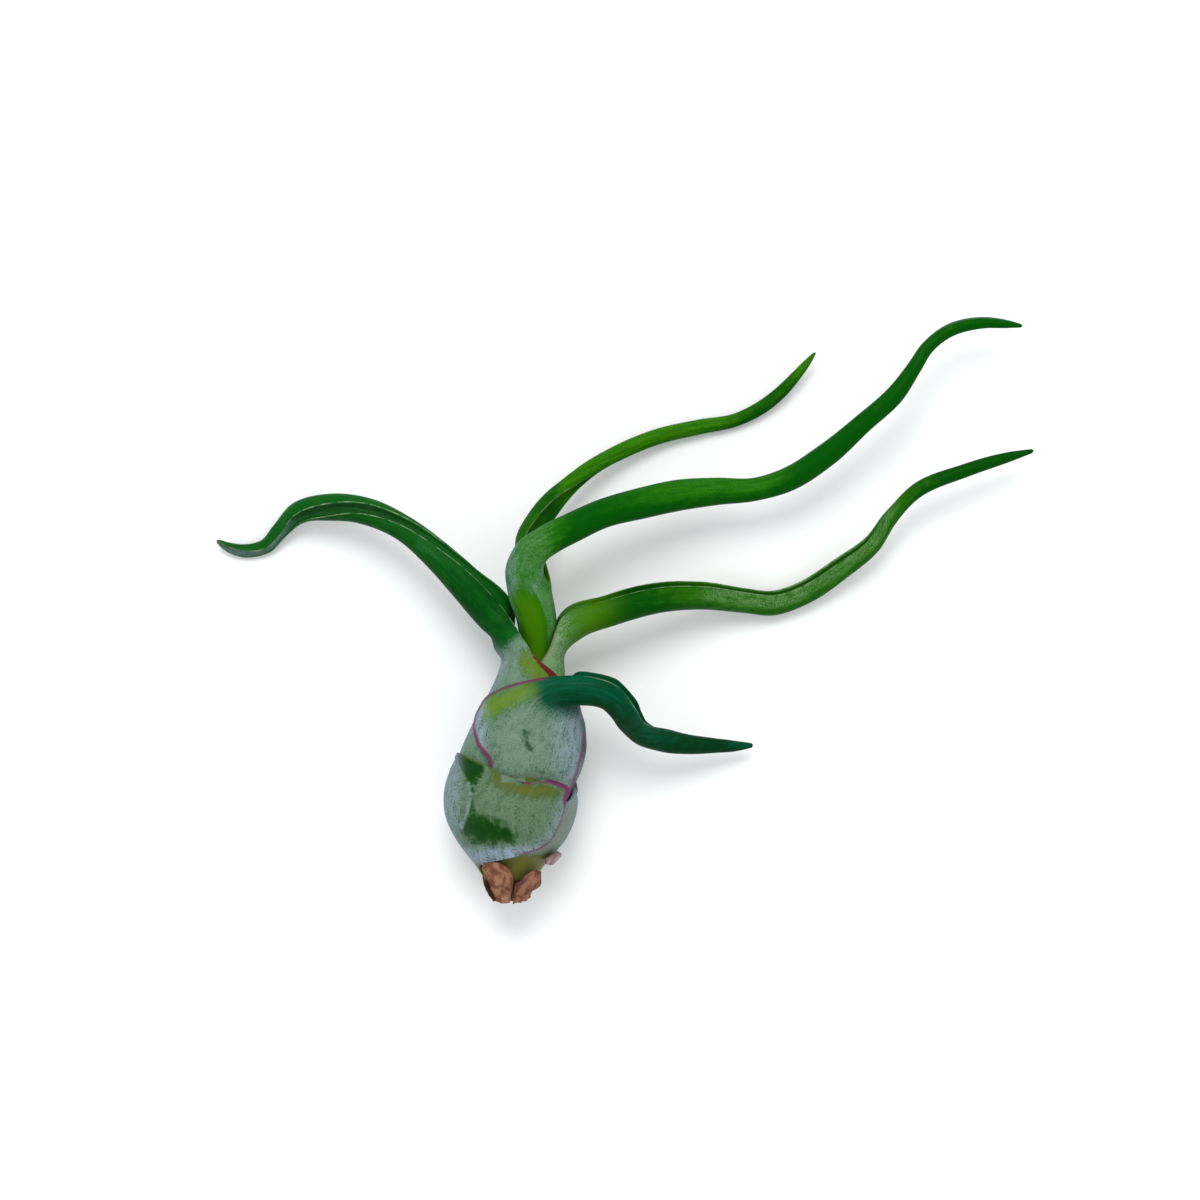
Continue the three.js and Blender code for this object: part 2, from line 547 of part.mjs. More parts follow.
// A round spear along a path of [x, y, z, radius], pointed at its upper end.
function spearSolid(path) {
  const curve = new THREE.CatmullRomCurve3(path.map(([x, y, z]) => new THREE.Vector3(x, y, z)));
  const radiusAt = through(path.map(([, , , radius], i) => [i, radius]));
  const steps = 2 * (path.length - 1);
  const loops = [];
  for (let i = 0; i <= steps; i += 1) {
    const centre = curve.getPoint(i / steps);
    const tangent = curve.getTangent(i / steps);
    const side = new THREE.Vector3(0, 0, 1).cross(tangent).normalize();
    const up = tangent.clone().cross(side);
    const [radius] = radiusAt(i / 2);
    loops.push(Array.from({ length: 8 }, (_, j) => {
      const angle = (j * Math.PI) / 4;
      return centre.clone()
        .addScaledVector(side, -radius * Math.cos(angle))
        .addScaledVector(up, radius * Math.sin(angle));
    }));
  }
  return solidFromLoops(loops);
}

const leafMaterial = (color) => new THREE.MeshStandardMaterial({ color, roughness: 0.45, metalness: 0 });
const silverGreen = leafMaterial('#8fa696');
const leafGreen = leafMaterial('#2f7a2c');
const dryBrown = new THREE.MeshStandardMaterial({ color: '#a06f50', roughness: 0.85, metalness: 0 });

const plant = new THREE.Group();

function addNode(name, solid, material) {
  const mesh = new THREE.Mesh(geometryFrom(solid), material);
  mesh.name = name;
  plant.add(mesh);
}

addNode('stem', stemSolid(), dryBrown);
addNode('leaf_lower_right', leafSolid(leafLowerRight).trimByPlane([0, 0, 1], 0), silverGreen);
addNode('leaf_lower_left', leafSolid(leafLowerLeft), silverGreen);
addNode('leaf_hooked', leafSolid(leafHooked), leafGreen);
addNode('leaf_left', leafSolid(leafLeft), leafGreen);
addNode('leaf_right', leafSolid(leafRight), leafGreen);
addNode('leaf_centre', leafSolid(leafCentre), leafGreen);
addNode('leaf_rear', leafSolid(leafRear), leafGreen);
addNode('leaf_youngest', spearSolid(leafYoungest), leafGreen);
addNode('scale_front', leafSolid(scaleFront), dryBrown);
addNode('scale_front_right', leafSolid(scaleFrontRight), dryBrown);
addNode('scale_behind', leafSolid(scaleBehind), dryBrown);
addNode('scale_small', leafSolid(scaleSmall), dryBrown);

export default plant;
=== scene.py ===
"""A bulbous air plant, laid on its side on a pale surface and seen from straight above."""

import math
from types import SimpleNamespace

import bpy
import numpy as np
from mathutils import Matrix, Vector, kdtree, noise


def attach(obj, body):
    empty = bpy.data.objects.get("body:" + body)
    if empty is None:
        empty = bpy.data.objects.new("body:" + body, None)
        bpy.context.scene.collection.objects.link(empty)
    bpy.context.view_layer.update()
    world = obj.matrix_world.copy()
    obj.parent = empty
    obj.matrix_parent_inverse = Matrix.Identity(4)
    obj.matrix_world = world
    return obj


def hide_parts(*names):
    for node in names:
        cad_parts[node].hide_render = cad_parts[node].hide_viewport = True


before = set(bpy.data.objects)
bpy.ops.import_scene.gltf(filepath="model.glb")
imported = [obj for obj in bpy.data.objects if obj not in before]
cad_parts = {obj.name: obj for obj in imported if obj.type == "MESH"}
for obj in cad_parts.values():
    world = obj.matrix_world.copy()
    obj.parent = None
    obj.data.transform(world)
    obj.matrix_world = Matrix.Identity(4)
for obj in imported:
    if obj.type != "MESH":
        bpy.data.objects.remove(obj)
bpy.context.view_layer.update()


# Stem. A short woody peg, from which every leaf grows. It broke from its root at the foot, so its
# end is rough, and the cut fibres of old leaf bases run along it.

MM = 0.001


def through(keys):
    """A smooth curve through keys of (position, value, value, ...), as a function of positions."""
    keys = np.array(keys, float)
    at, values = keys[:, 0], keys[:, 1:]
    width = np.diff(at)[:, None]
    steep = np.diff(values, axis=0) / width
    inside = (steep[:-1] * width[1:] + steep[1:] * width[:-1]) / (width[:-1] + width[1:])
    slope = np.vstack([steep[:1], inside, steep[-1:]])

    def curve(positions):
        place = np.clip(np.atleast_1d(np.asarray(positions, float)), at[0], at[-1])
        i = np.clip(np.searchsorted(at, place) - 1, 0, len(width) - 1)
        t = ((place - at[i]) / width[i, 0])[:, None]
        between = values[i] + (values[i + 1] - values[i]) * t * t * (3 - 2 * t)
        leave = slope[i] * t * (1 - t) ** 2 * width[i]
        arrive = slope[i + 1] * t * t * (t - 1) * width[i]
        return between + leave + arrive

    return curve


# the middle line of the bulb and neck: y, then x and z, in millimetres
bulb_axis = through([
    (-16.5, -0.5, 10.4), (-9, -0.2, 10.9), (0, -0.1, 11.2), (3.2, 0.1, 11.2), (6.4, 1.1, 11.2),
    (9.6, 2.0, 11.2), (12.8, 2.7, 11.2), (16, 3.0, 11.1), (24, 3.4, 10.9), (32, 3.4, 11.4),
])


def grain(x, y, z=0.0):
    """Even natural variation from -1 to 1 at places given in its own units."""
    x, y, z = np.broadcast_arrays(x, y, z)
    flat = [noise.noise(Vector(p)) for p in zip(x.ravel(), y.ravel(), z.ravel())]
    return np.array(flat).reshape(x.shape)


def skin_mesh(name, points, faces, marks):
    """A smooth mesh from points in millimetres, with a number at each point for every mark."""
    mesh = bpy.data.meshes.new(name)
    mesh.from_pydata((points * MM).tolist(), [], faces)
    mesh.shade_smooth()
    for mark, values in marks.items():
        values = np.asarray(values, np.float32)
        if values.ndim == 2:
            layer = mesh.attributes.new(mark, "FLOAT_VECTOR", "POINT")
            layer.data.foreach_set("vector", values.ravel())
        else:
            mesh.attributes.new(mark, "FLOAT", "POINT").data.foreach_set("value", values)
    piece = bpy.data.objects.new(name, mesh)
    bpy.context.scene.collection.objects.link(piece)
    return piece


def tube_faces(rows, sides):
    """The faces of a tube whose points lie in rings, with a flat end at its first and last ring."""
    faces = [(i * sides + j, i * sides + (j + 1) % sides,
              (i + 1) * sides + (j + 1) % sides, (i + 1) * sides + j)
             for i in range(rows - 1) for j in range(sides)]
    last = (rows - 1) * sides
    return faces + [tuple(reversed(range(sides))), tuple(range(last, last + sides))]


class Bench:
    """Adds shader nodes to one tree and wires them up."""

    def __init__(self, tree):
        self.tree = tree

    def node(self, kind, settings=None, **inputs):
        made = self.tree.nodes.new(kind)
        for key, value in (settings or {}).items():
            setattr(made, key, value)
        for key, value in inputs.items():
            self.feed(made.inputs[key.replace("_", " ")], value)
        return made

    def feed(self, socket, value):
        if isinstance(value, bpy.types.NodeSocket):
            self.tree.links.new(value, socket)
        else:
            socket.default_value = value

    def mark(self, name, output="Fac"):
        """The number, or the place, that the mesh carries under this name."""
        settings = {"attribute_type": "GEOMETRY", "attribute_name": name}
        return self.node("ShaderNodeAttribute", settings).outputs[output]

    def number(self, operation, a, b):
        made = self.node("ShaderNodeMath", {"operation": operation})
        self.feed(made.inputs[0], a)
        self.feed(made.inputs[1], b)
        return made.outputs[0]

    def times(self, a, b):
        return self.number("MULTIPLY", a, b)

    def sum(self, *values):
        total = values[0]
        for value in values[1:]:
            total = self.number("ADD", total, value)
        return total

    def swing(self, noise_value, amount):
        """Noise as a change to either side of nothing."""
        return self.times(self.number("SUBTRACT", noise_value, 0.5), amount)

    def rise(self, value, low, high):
        """0 where value is below low, 1 where it is above high, and smooth between."""
        made = self.node("ShaderNodeMapRange", {"interpolation_type": "SMOOTHSTEP"},
                         Value=value, From_Min=low, From_Max=high)
        return made.outputs["Result"]

    def mix(self, share, a, b):
        """Colour a where share is 0 and colour b where it is 1."""
        made = self.node("ShaderNodeMix", {"data_type": "RGBA"})
        self.feed(made.inputs["Factor"], share)
        colours = [socket for socket in made.inputs if socket.type == "RGBA"]
        self.feed(colours[0], a)
        self.feed(colours[1], b)
        return next(s for s in made.outputs if s.type == "RGBA")

    def cloud(self, place, stretch, detail=2.0, roughness=0.5):
        """Noise with stretch (x, y, z) grains to the millimetre."""
        scaled = self.node("ShaderNodeVectorMath", {"operation": "MULTIPLY"})
        self.feed(scaled.inputs[0], place)
        self.feed(scaled.inputs[1], stretch)
        made = self.node("ShaderNodeTexNoise", Vector=scaled.outputs[0], Scale=1.0,
                         Detail=detail, Roughness=roughness)
        return made.outputs["Fac"]


def colour(red, green, blue):
    """A colour given as it looks on a screen, 0 to 255, in the linear light of the shaders."""
    parts = [v / 255 for v in (red, green, blue)]
    linear = [v / 12.92 if v < 0.04045 else ((v + 0.055) / 1.055) ** 2.4 for v in parts]
    return (*linear, 1.0)


def new_group(name, inputs, outputs):
    """An empty shader node group, with its sockets, and a bench to fill it on."""
    group = bpy.data.node_groups.new(name, "ShaderNodeTree")
    for side, sockets in (("INPUT", inputs), ("OUTPUT", outputs)):
        for socket, kind in sockets.items():
            group.interface.new_socket(socket, in_out=side, socket_type=f"NodeSocket{kind}")
    bench = Bench(group)
    return group, bench, bench.node("NodeGroupInput").outputs, bench.node("NodeGroupOutput").inputs


def dry_tissue_group():
    """Dead leaf tissue: fibres along it, blotches, dark cracks and bleached edges."""
    group, bench, given, result = new_group(
        "dry tissue", {"Place": "Vector", "Edge": "Float", "Tan": "Color", "Brown": "Color"},
        {"Colour": "Color", "Height": "Float"})
    fibres = bench.cloud(given["Place"], (5.0, 0.45, 1.0), 4.0, 0.6)
    blotches = bench.cloud(given["Place"], (0.55, 0.35, 1.0), 3.0)
    crumbs = bench.cloud(given["Place"], (5.5, 5.5, 1.0), 2.0)
    base = bench.mix(bench.rise(blotches, 0.4, 0.6), given["Tan"], given["Brown"])
    fibre_brown, edge_brown = colour(84, 42, 26), colour(84, 44, 32)
    bleached = colour(222, 190, 168)
    base = bench.mix(bench.times(bench.rise(fibres, 0.48, 0.7), 0.6), base, fibre_brown)
    base = bench.mix(bench.times(bench.rise(crumbs, 0.58, 0.78), 0.35), base, bleached)
    bench.feed(result["Colour"], bench.mix(given["Edge"], base, edge_brown))
    bench.feed(result["Height"], bench.sum(fibres, bench.times(crumbs, 0.5)))
    return group


dry_tissue = dry_tissue_group()


def dry_material(name, tan, brown):
    material = bpy.data.materials.new(name)
    material.use_nodes = True
    bench = Bench(material.node_tree)
    shader = material.node_tree.nodes["Principled BSDF"]
    made = bench.node("ShaderNodeGroup", {"node_tree": dry_tissue}, Tan=tan, Brown=brown,
                      Place=bench.mark("place", "Vector"), Edge=bench.mark("edge"))
    bench.feed(shader.inputs["Base Color"], made.outputs["Colour"])
    shader.inputs["Roughness"].default_value = 0.82
    shader.inputs["Specular IOR Level"].default_value = 0.25
    bump = bench.node("ShaderNodeBump", Height=made.outputs["Height"], Strength=0.8,
                      Distance=0.25 * MM)
    bench.feed(shader.inputs["Normal"], bump.outputs["Normal"])
    return material


stem_shape = through([
    (-16.1, 1.5), (-15.4, 1.75), (-14.2, 2.05), (-12.8, 2.55), (-11.6, 2.7), (-10.4, 2.4),
    (-9.4, 2.0), (-8.4, 1.6), (-7.4, 1.25), (-6.4, 0.9), (-5.6, 0.6),
])
stem_foot, stem_tip, stem_rows, stem_sides = -16.1, -5.6, 64, 72
turn, length = np.meshgrid(np.arange(stem_sides) * 2 * np.pi / stem_sides,
                           np.linspace(stem_foot, stem_tip, stem_rows))
cos_turn, sin_turn, from_foot = np.cos(turn), np.sin(turn), length - stem_foot
stem_middle = bulb_axis(length.ravel()).reshape(*length.shape, 2)
stem_radius = stem_shape(length.ravel()).reshape(length.shape)
stem_radius *= 0.93 + 0.07 * grain(3.0 * cos_turn + 9, 3.0 * sin_turn, 0.25 * length)
broken = 0.35 * np.abs(grain(2.2 * cos_turn, 2.2 * sin_turn, 7.0)) * np.exp(-from_foot / 0.5)
stem_points = np.stack([
    stem_middle[..., 0] + stem_radius * cos_turn, length + broken,
    stem_middle[..., 1] + stem_radius * sin_turn], -1).reshape(-1, 3)
stem_girth = 2.2
stem = skin_mesh("stem_wood", stem_points, tube_faces(stem_rows, stem_sides), {
    "place": np.stack([turn.ravel() * stem_girth, length.ravel(), 0 * turn.ravel()], -1),
    "edge": np.exp(-from_foot.ravel() / 0.4)})
stem.data.materials.append(dry_material("stem_wood", colour(140, 96, 66), colour(88, 56, 38)))
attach(stem, "root")
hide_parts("stem")


# Dry scales. Torn remains of the plant's first leaves, which died back and went brown. They are
# thin and crumpled, hold to the foot of the bulb, and split along their fibres.


def sheath_ring(layer, station, across):
    """One row of a sheath, from (angle, y, lift) at its low margin, its middle and its high margin.

    The angle goes round the bulb's axis in degrees, 0 at +X and 90 on top."""
    low, middle, high = np.array(station, float)
    v = across[:, None]
    degrees, y, lift = (middle + v * (high - low) / 2 + v * v * ((high + low) / 2 - middle)).T
    axis_x, axis_z = bulb_axis(y).T
    radius, shift_x, shift_z = layer(y).T
    angle = np.radians(degrees)
    return np.stack([axis_x + shift_x + (radius + lift) * np.cos(angle), y,
                     axis_z + shift_z + (radius + lift) * np.sin(angle)], -1)


def blade_ring(station, tangent, across):
    """One row of a blade, square to its path: x, y, z, radius, groove, span.

    The groove is the side to which the channel opens, in degrees from straight up, turning to the
    left of the path, and the span is half of the arc that the blade fills."""
    x, y, z, radius, groove, span = station
    left = np.cross((0, 0, 1), tangent)
    left /= np.linalg.norm(left)
    up = np.cross(tangent, left)
    back = -math.cos(math.radians(groove)) * up - math.sin(math.radians(groove)) * left
    side = np.cross(back, tangent)
    angle = np.radians(across * span)[:, None]
    return np.array((x, y, z)) + radius * (np.cos(angle) * back + np.sin(angle) * side)


def path_directions(stops):
    """The direction of a smooth path at each of its stops but the first."""
    stops = [np.array(p, float) for p in stops]
    stops.append(2 * stops[-1] - stops[-2])
    found = []
    for before, here, after in zip(stops, stops[1:], stops[2:]):
        a, b = (math.sqrt(np.linalg.norm(q - p)) for p, q in ((before, here), (here, after)))
        tangent = (here - before) / a - (after - before) / (a + b) + (after - here) / b
        found.append(tangent / np.linalg.norm(tangent))
    return found


def soft(values, low, high):
    """0 where the values are at low or beyond it, 1 at high and beyond it, and smooth between."""
    t = np.clip((values - low) / (high - low), 0, 1)
    return t * t * (3 - 2 * t)


def line_distance(x, y, line):
    """The distance of every place from a line of (x, y) stops, seen from above."""
    best = np.full(np.shape(x), 1e9)
    for (ax, ay), (bx, by) in zip(line, line[1:]):
        dx, dy = bx - ax, by - ay
        t = np.clip(((x - ax) * dx + (y - ay) * dy) / (dx * dx + dy * dy), 0, 1)
        best = np.minimum(best, np.hypot(x - ax - t * dx, y - ay - t * dy))
    return best


def within(x, y, corners):
    """How far every place lies inside an outline of corners that runs clockwise from above."""
    depth = np.full(np.shape(x), 1e9)
    for (ax, ay), (bx, by) in zip(corners, corners[1:] + corners[:1]):
        dx, dy = bx - ax, by - ay
        depth = np.minimum(depth, ((y - ay) * -dx + (x - ax) * dy) / math.hypot(dx, dy))
    return depth


def ragged(x, y, coarse, fine):
    """Uneven natural variation, coarse blotches with fine ones over them, in millimetres."""
    return coarse * grain(0.9 * x, 0.9 * y, 3.0) + fine * grain(2.6 * x, 2.6 * y, 5.0)


def grow(layer, sheath, blade=(), wall=0.8, margin=0.32, step=0.45, columns=49, curl=None,
         fill=(0.95, 0.55), hollow=0.16):
    """Grows a leaf as a closed skin from rows of its sheath and blade, and measures it.

    Layer gives the sheath's radius at every y, and its shift in x and z from the bulb's axis. The
    wall thins to the margin's thickness at its edges, and curl pushes its outside out. A blade's
    channel starts to fill up where its width is the first number in fill times its depth, and is
    only a groove at the second; hollow, a number or a curve along x, says how far that sinks.

    It returns the points in millimetres, the faces, and for each point: run, the distance from the
    foot; across, the distance from the middle line; low, high and edge, the distance from each
    margin and from the nearer one; outer, 1 on the outside and 0 on the inside; and sunny, 1 on
    the side turned to the tips of the plant, where it is lit, and -1 on the other."""
    across = np.linspace(-1, 1, columns)
    middle = columns // 2
    rings = [(sheath_ring(layer, station, across), wall, 0.0) for station in sheath]
    if blade:
        throat = sheath_ring(layer, sheath[-1], np.linspace(-1, 1, 13)).mean(axis=0)
        for station, tangent in zip(blade, path_directions([throat, *(b[:3] for b in blade)])):
            thickness = min(1.0, 0.78 * station[3])
            rings.append((blade_ring(station, tangent, across), thickness, 1.0))
    spine = np.array([points[middle] for points, _, _ in rings])
    runs = np.concatenate([[0], np.cumsum(np.linalg.norm(np.diff(spine, axis=0), axis=1))])
    shape = through([[run, *points.ravel(), thick, share]
                     for run, (points, thick, share) in zip(runs, rings)])

    # the outside, in even rows from the foot to the tip
    rows = max(8, int(runs[-1] / step))
    run = np.linspace(0, runs[-1], rows)
    numbers = shape(run)
    outer = numbers[:, :-2].reshape(rows, columns, 3)
    thick, blade_share = numbers[:, -2:-1], np.clip(numbers[:, -1:], 0, 1)
    gaps = np.linalg.norm(np.diff(outer, axis=1), axis=2)
    from_low = np.concatenate([np.zeros((rows, 1)), np.cumsum(gaps, axis=1)], axis=1)
    to_edge = np.minimum(from_low, from_low[:, -1:] - from_low)
    normal = np.cross(np.gradient(outer, axis=0), np.gradient(outer, axis=1))
    normal /= np.maximum(np.linalg.norm(normal, axis=2, keepdims=True), 1e-9)
    if curl is not None:
        outer = outer + normal * curl(outer, to_edge)[..., None]

    # the inside, at the depth of the wall
    margin_width = 2.2
    taper = 1 - np.clip(to_edge / margin_width, 0, 1)
    sheath_depth = thick - (thick - margin) * taper ** 2
    blade_depth = thick * (1 - 0.5 * across ** 8)
    depth = (1 - blade_share) * np.minimum(sheath_depth, thick) + blade_share * blade_depth
    inner = outer - normal * depth[..., None]

    # a blade is fleshy, so where its channel is narrow it is only a groove
    opening = (outer[:, :1] + outer[:, -1:]) / 2
    back = outer[:, middle:middle + 1] - opening
    narrow = np.linalg.norm(outer[:, :1] - outer[:, -1:], axis=2) / np.maximum(
        np.linalg.norm(back, axis=2), 1e-9)
    v = across[None, :, None]
    sink = hollow(opening[..., 0])[..., None] if callable(hollow) else hollow
    groove = inner[:, :1] * (1 - v) / 2 + inner[:, -1:] * (1 + v) / 2 + sink * back * (1 - v * v)
    filled = (blade_share * soft(narrow, *fill))[..., None]
    inner = inner * (1 - filled) + groove * filled

    lip_turns = np.radians((60, 30, 0, -30, -60))

    def lip(edge, inward):
        """The points round a margin, from the outside to the inside."""
        outwards = outer[:, edge] - outer[:, edge + inward]
        outwards /= np.maximum(np.linalg.norm(outwards, axis=1, keepdims=True), 1e-9)
        half = depth[:, edge, None] / 2
        centre = (outer[:, edge] + inner[:, edge]) / 2
        return [centre + half * (0.4 * math.cos(a) * outwards + math.sin(a) * normal[:, edge])
                for a in lip_turns]

    # the closed skin: loops over the outside, round a margin, back inside and round the other one
    loop = [outer[:, j] for j in range(columns)] + lip(-1, -1)
    loop += [inner[:, j] for j in reversed(range(columns))] + lip(0, 1)[::-1]
    loop = np.stack(loop, axis=1)
    size = loop.shape[1]
    body = loop[:-1].reshape(-1, 3)
    points = np.vstack([body, loop[-1].mean(axis=0)])
    points[:, 2] = np.maximum(points[:, 2], 0.0)
    tip, last, lip_size = len(body), len(loop) - 2, len(lip_turns)
    faces = [(i * size + j, (i + 1) * size + j, (i + 1) * size + (j + 1) % size,
              i * size + (j + 1) % size) for i in range(last) for j in range(size)]
    faces += [(last * size + j, tip, last * size + (j + 1) % size) for j in range(size)]
    inside = size - lip_size - 1
    faces += [(j, j + 1, inside - j - 1, inside - j) for j in range(columns - 1)]
    faces += [tuple(range(columns - 1, columns + lip_size + 1)), (0, *range(inside, size))]

    def spread(outside):
        """One number for every point from the numbers of the outside, which the inside shares."""
        ends = [np.repeat(outside[:, j:j + 1], lip_size, axis=1) for j in (columns - 1, 0)]
        loop_values = np.concatenate([outside, ends[0], outside[:, ::-1], ends[1]], axis=1)
        return np.append(loop_values[:-1].ravel(), loop_values[-1].mean())

    turned = np.array((0.9, 0.7, 0.5, 0.3, 0.1))
    faced = np.concatenate([np.ones(columns), turned, np.zeros(columns), turned[::-1]])
    leaf = SimpleNamespace(points=points, faces=faces)
    leaf.run = spread(run[:, None] * np.ones(columns))
    leaf.across = spread(from_low - from_low[:, middle:middle + 1])
    leaf.sunny = spread(normal[..., 1])
    leaf.outer = np.append(np.tile(faced, rows - 1), 0.5)
    for side, column in (("low", 0), ("high", -1)):
        line = outer[:, column]
        tree = kdtree.KDTree(len(line))
        for i, p in enumerate(line):
            tree.insert(p, i)
        tree.balance()
        setattr(leaf, side, np.array([tree.find(p)[2] for p in points]))
    leaf.edge = np.minimum(leaf.low, leaf.high)
    leaf.x, leaf.y, leaf.z = points.T
    inside_pattern = 40  # far enough away in the noise for the inside to have a pattern of its own
    leaf.place = np.stack([leaf.across, leaf.run, inside_pattern * (leaf.outer < 0.5)], -1)
    return leaf


scale_layer = through([
    (-16.4, 2.3, 0, 0), (-15.6, 2.75, 0, 0), (-14.2, 3.5, 0, 0), (-12.9, 5.1, 0, 0),
    (-12.2, 5.6, 0, 0), (-11, 6.3, 0, 0), (-9.8, 7.3, 0, 0), (-8, 8.7, 0, 0),
])


def dry_scale(name, node, rows, material, crumple, seed, layer=scale_layer, cracks=()):
    """A torn scale: its outside is pushed out in folds, most of all along its free edges."""

    def folds(outer, to_edge):
        x, y, z = np.moveaxis(outer, -1, 0)
        ridges = 1 - np.abs(grain(0.55 * x + seed, 0.35 * y, 0.55 * z))
        return crumple * (ridges ** 3 + 0.35 * np.exp(-to_edge / 0.5))

    leaf = grow(layer, rows, wall=0.65, margin=0.22, step=0.12, columns=41, curl=folds)
    dark = 0.6 * np.exp(-leaf.edge / 0.28) + 0.3 * (leaf.outer < 0.5)
    for crack in cracks:
        dark = np.maximum(dark, 0.7 * soft(line_distance(leaf.x, leaf.y, crack), 0.4, 0.05))
    piece = skin_mesh(name, leaf.points, leaf.faces,
                      {"place": leaf.place + (seed, 0, 0), "edge": dark})
    piece.data.materials.append(material)
    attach(piece, "root")
    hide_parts(node)


dry_scale("dry_scale_front", "scale_front", [
    [(86, -16.0, 0), (110, -16.2, 0), (134, -16.0, 0.1)],
    [(84, -14.2, 0.3), (106, -14.2, 0.3), (132, -14.2, 0.3)],
    [(84, -12.4, 0), (106, -12.4, 0), (130, -12.4, 0)],
    [(88, -11.2, 0.1), (109, -11.1, 0.2), (130, -11.2, 0.1)],
    [(95, -10.3, 0.2), (111, -10.2, 0.4), (126, -10.3, 0.2)],
    [(106, -9.8, 0.3), (112, -9.7, 0.5), (118, -9.8, 0.3)],
], dry_material("dry_scale_tan", colour(158, 114, 82), colour(106, 60, 38)), 0.4, 2.0,
    cracks=[[(-3.7, -13.2), (-2.6, -13.8), (-1.4, -13.5), (-0.5, -14.1)],
            [(-1.4, -13.5), (-1.0, -12.2)]])
dry_scale("dry_scale_front_right", "scale_front_right", [
    [(8, -15.7, 0), (42, -16.1, 0), (76, -16.2, 0)],
    [(12, -14.2, 0.2), (45, -14.3, 0.3), (77, -14.2, 0.2)],
    [(22, -12.9, 0), (49, -12.9, 0.1), (77, -12.9, 0)],
    [(34, -11.9, 0.1), (50, -11.7, 0.2), (67, -12.1, 0.1)],
    [(42, -11.2, 0.1), (48, -11.0, 0.2), (54, -11.2, 0.1)],
], dry_material("dry_scale_rust", colour(150, 102, 76), colour(88, 48, 32)), 0.45, 13.0,
    cracks=[[(0.2, -15.6), (0.9, -13.9), (2.0, -12.8)], [(0.9, -13.9), (0.3, -12.6)]])
dry_scale("dry_scale_behind", "scale_behind", [
    [(158, -16.1, 0), (244, -16.2, 0), (350, -16.0, 0)],
    [(174, -15.1, 0), (245, -15.1, 0), (342, -15.0, 0)],
    [(196, -14.1, 0), (247, -14.0, 0), (326, -14.0, 0)],
    [(210, -13.0, 0), (249, -12.8, 0), (306, -12.9, 0)],
    [(222, -11.9, 0), (251, -11.6, 0), (284, -11.9, 0)],
    [(238, -11.0, 0), (252, -10.7, 0), (266, -11.0, 0)],
], dry_material("dry_scale_dark", colour(126, 84, 62), colour(84, 50, 36)), 0.2, 29.0,
    layer=through([
        (-16.4, 2.3, 0, 0), (-15.2, 3.0, 0, 0), (-14, 3.9, 0, 0), (-12.8, 4.95, 0, 0),
        (-11.6, 5.95, 0, 0), (-10.4, 6.9, 0, 0)]))
dry_scale("dry_scale_small", "scale_small", [
    [(10, -10.0, 0), (24, -10.2, 0), (38, -10.0, 0)],
    [(6, -9.4, 0), (24, -9.5, 0), (42, -9.4, 0)],
    [(9, -8.8, 0), (25, -8.7, 0.1), (40, -8.8, 0)],
    [(20, -8.3, 0.1), (25, -8.2, 0.1), (30, -8.3, 0.1)],
], dry_material("dry_scale_lilac", colour(168, 142, 144), colour(134, 108, 108)), 0.15, 41.0)


# Lower right leaf. The oldest sheath, a broad fleshy scale with no long blade. It wraps the foot of
# the bulb, shows as the pale lobe at the right and the olive collar below, and carries the plant.

# what a leaf's mesh says of each point, from 0 to 1, but for rim, its distance from the margin
leaf_marks = ("silver", "pale", "yellow", "dark", "stain", "lip", "rim")


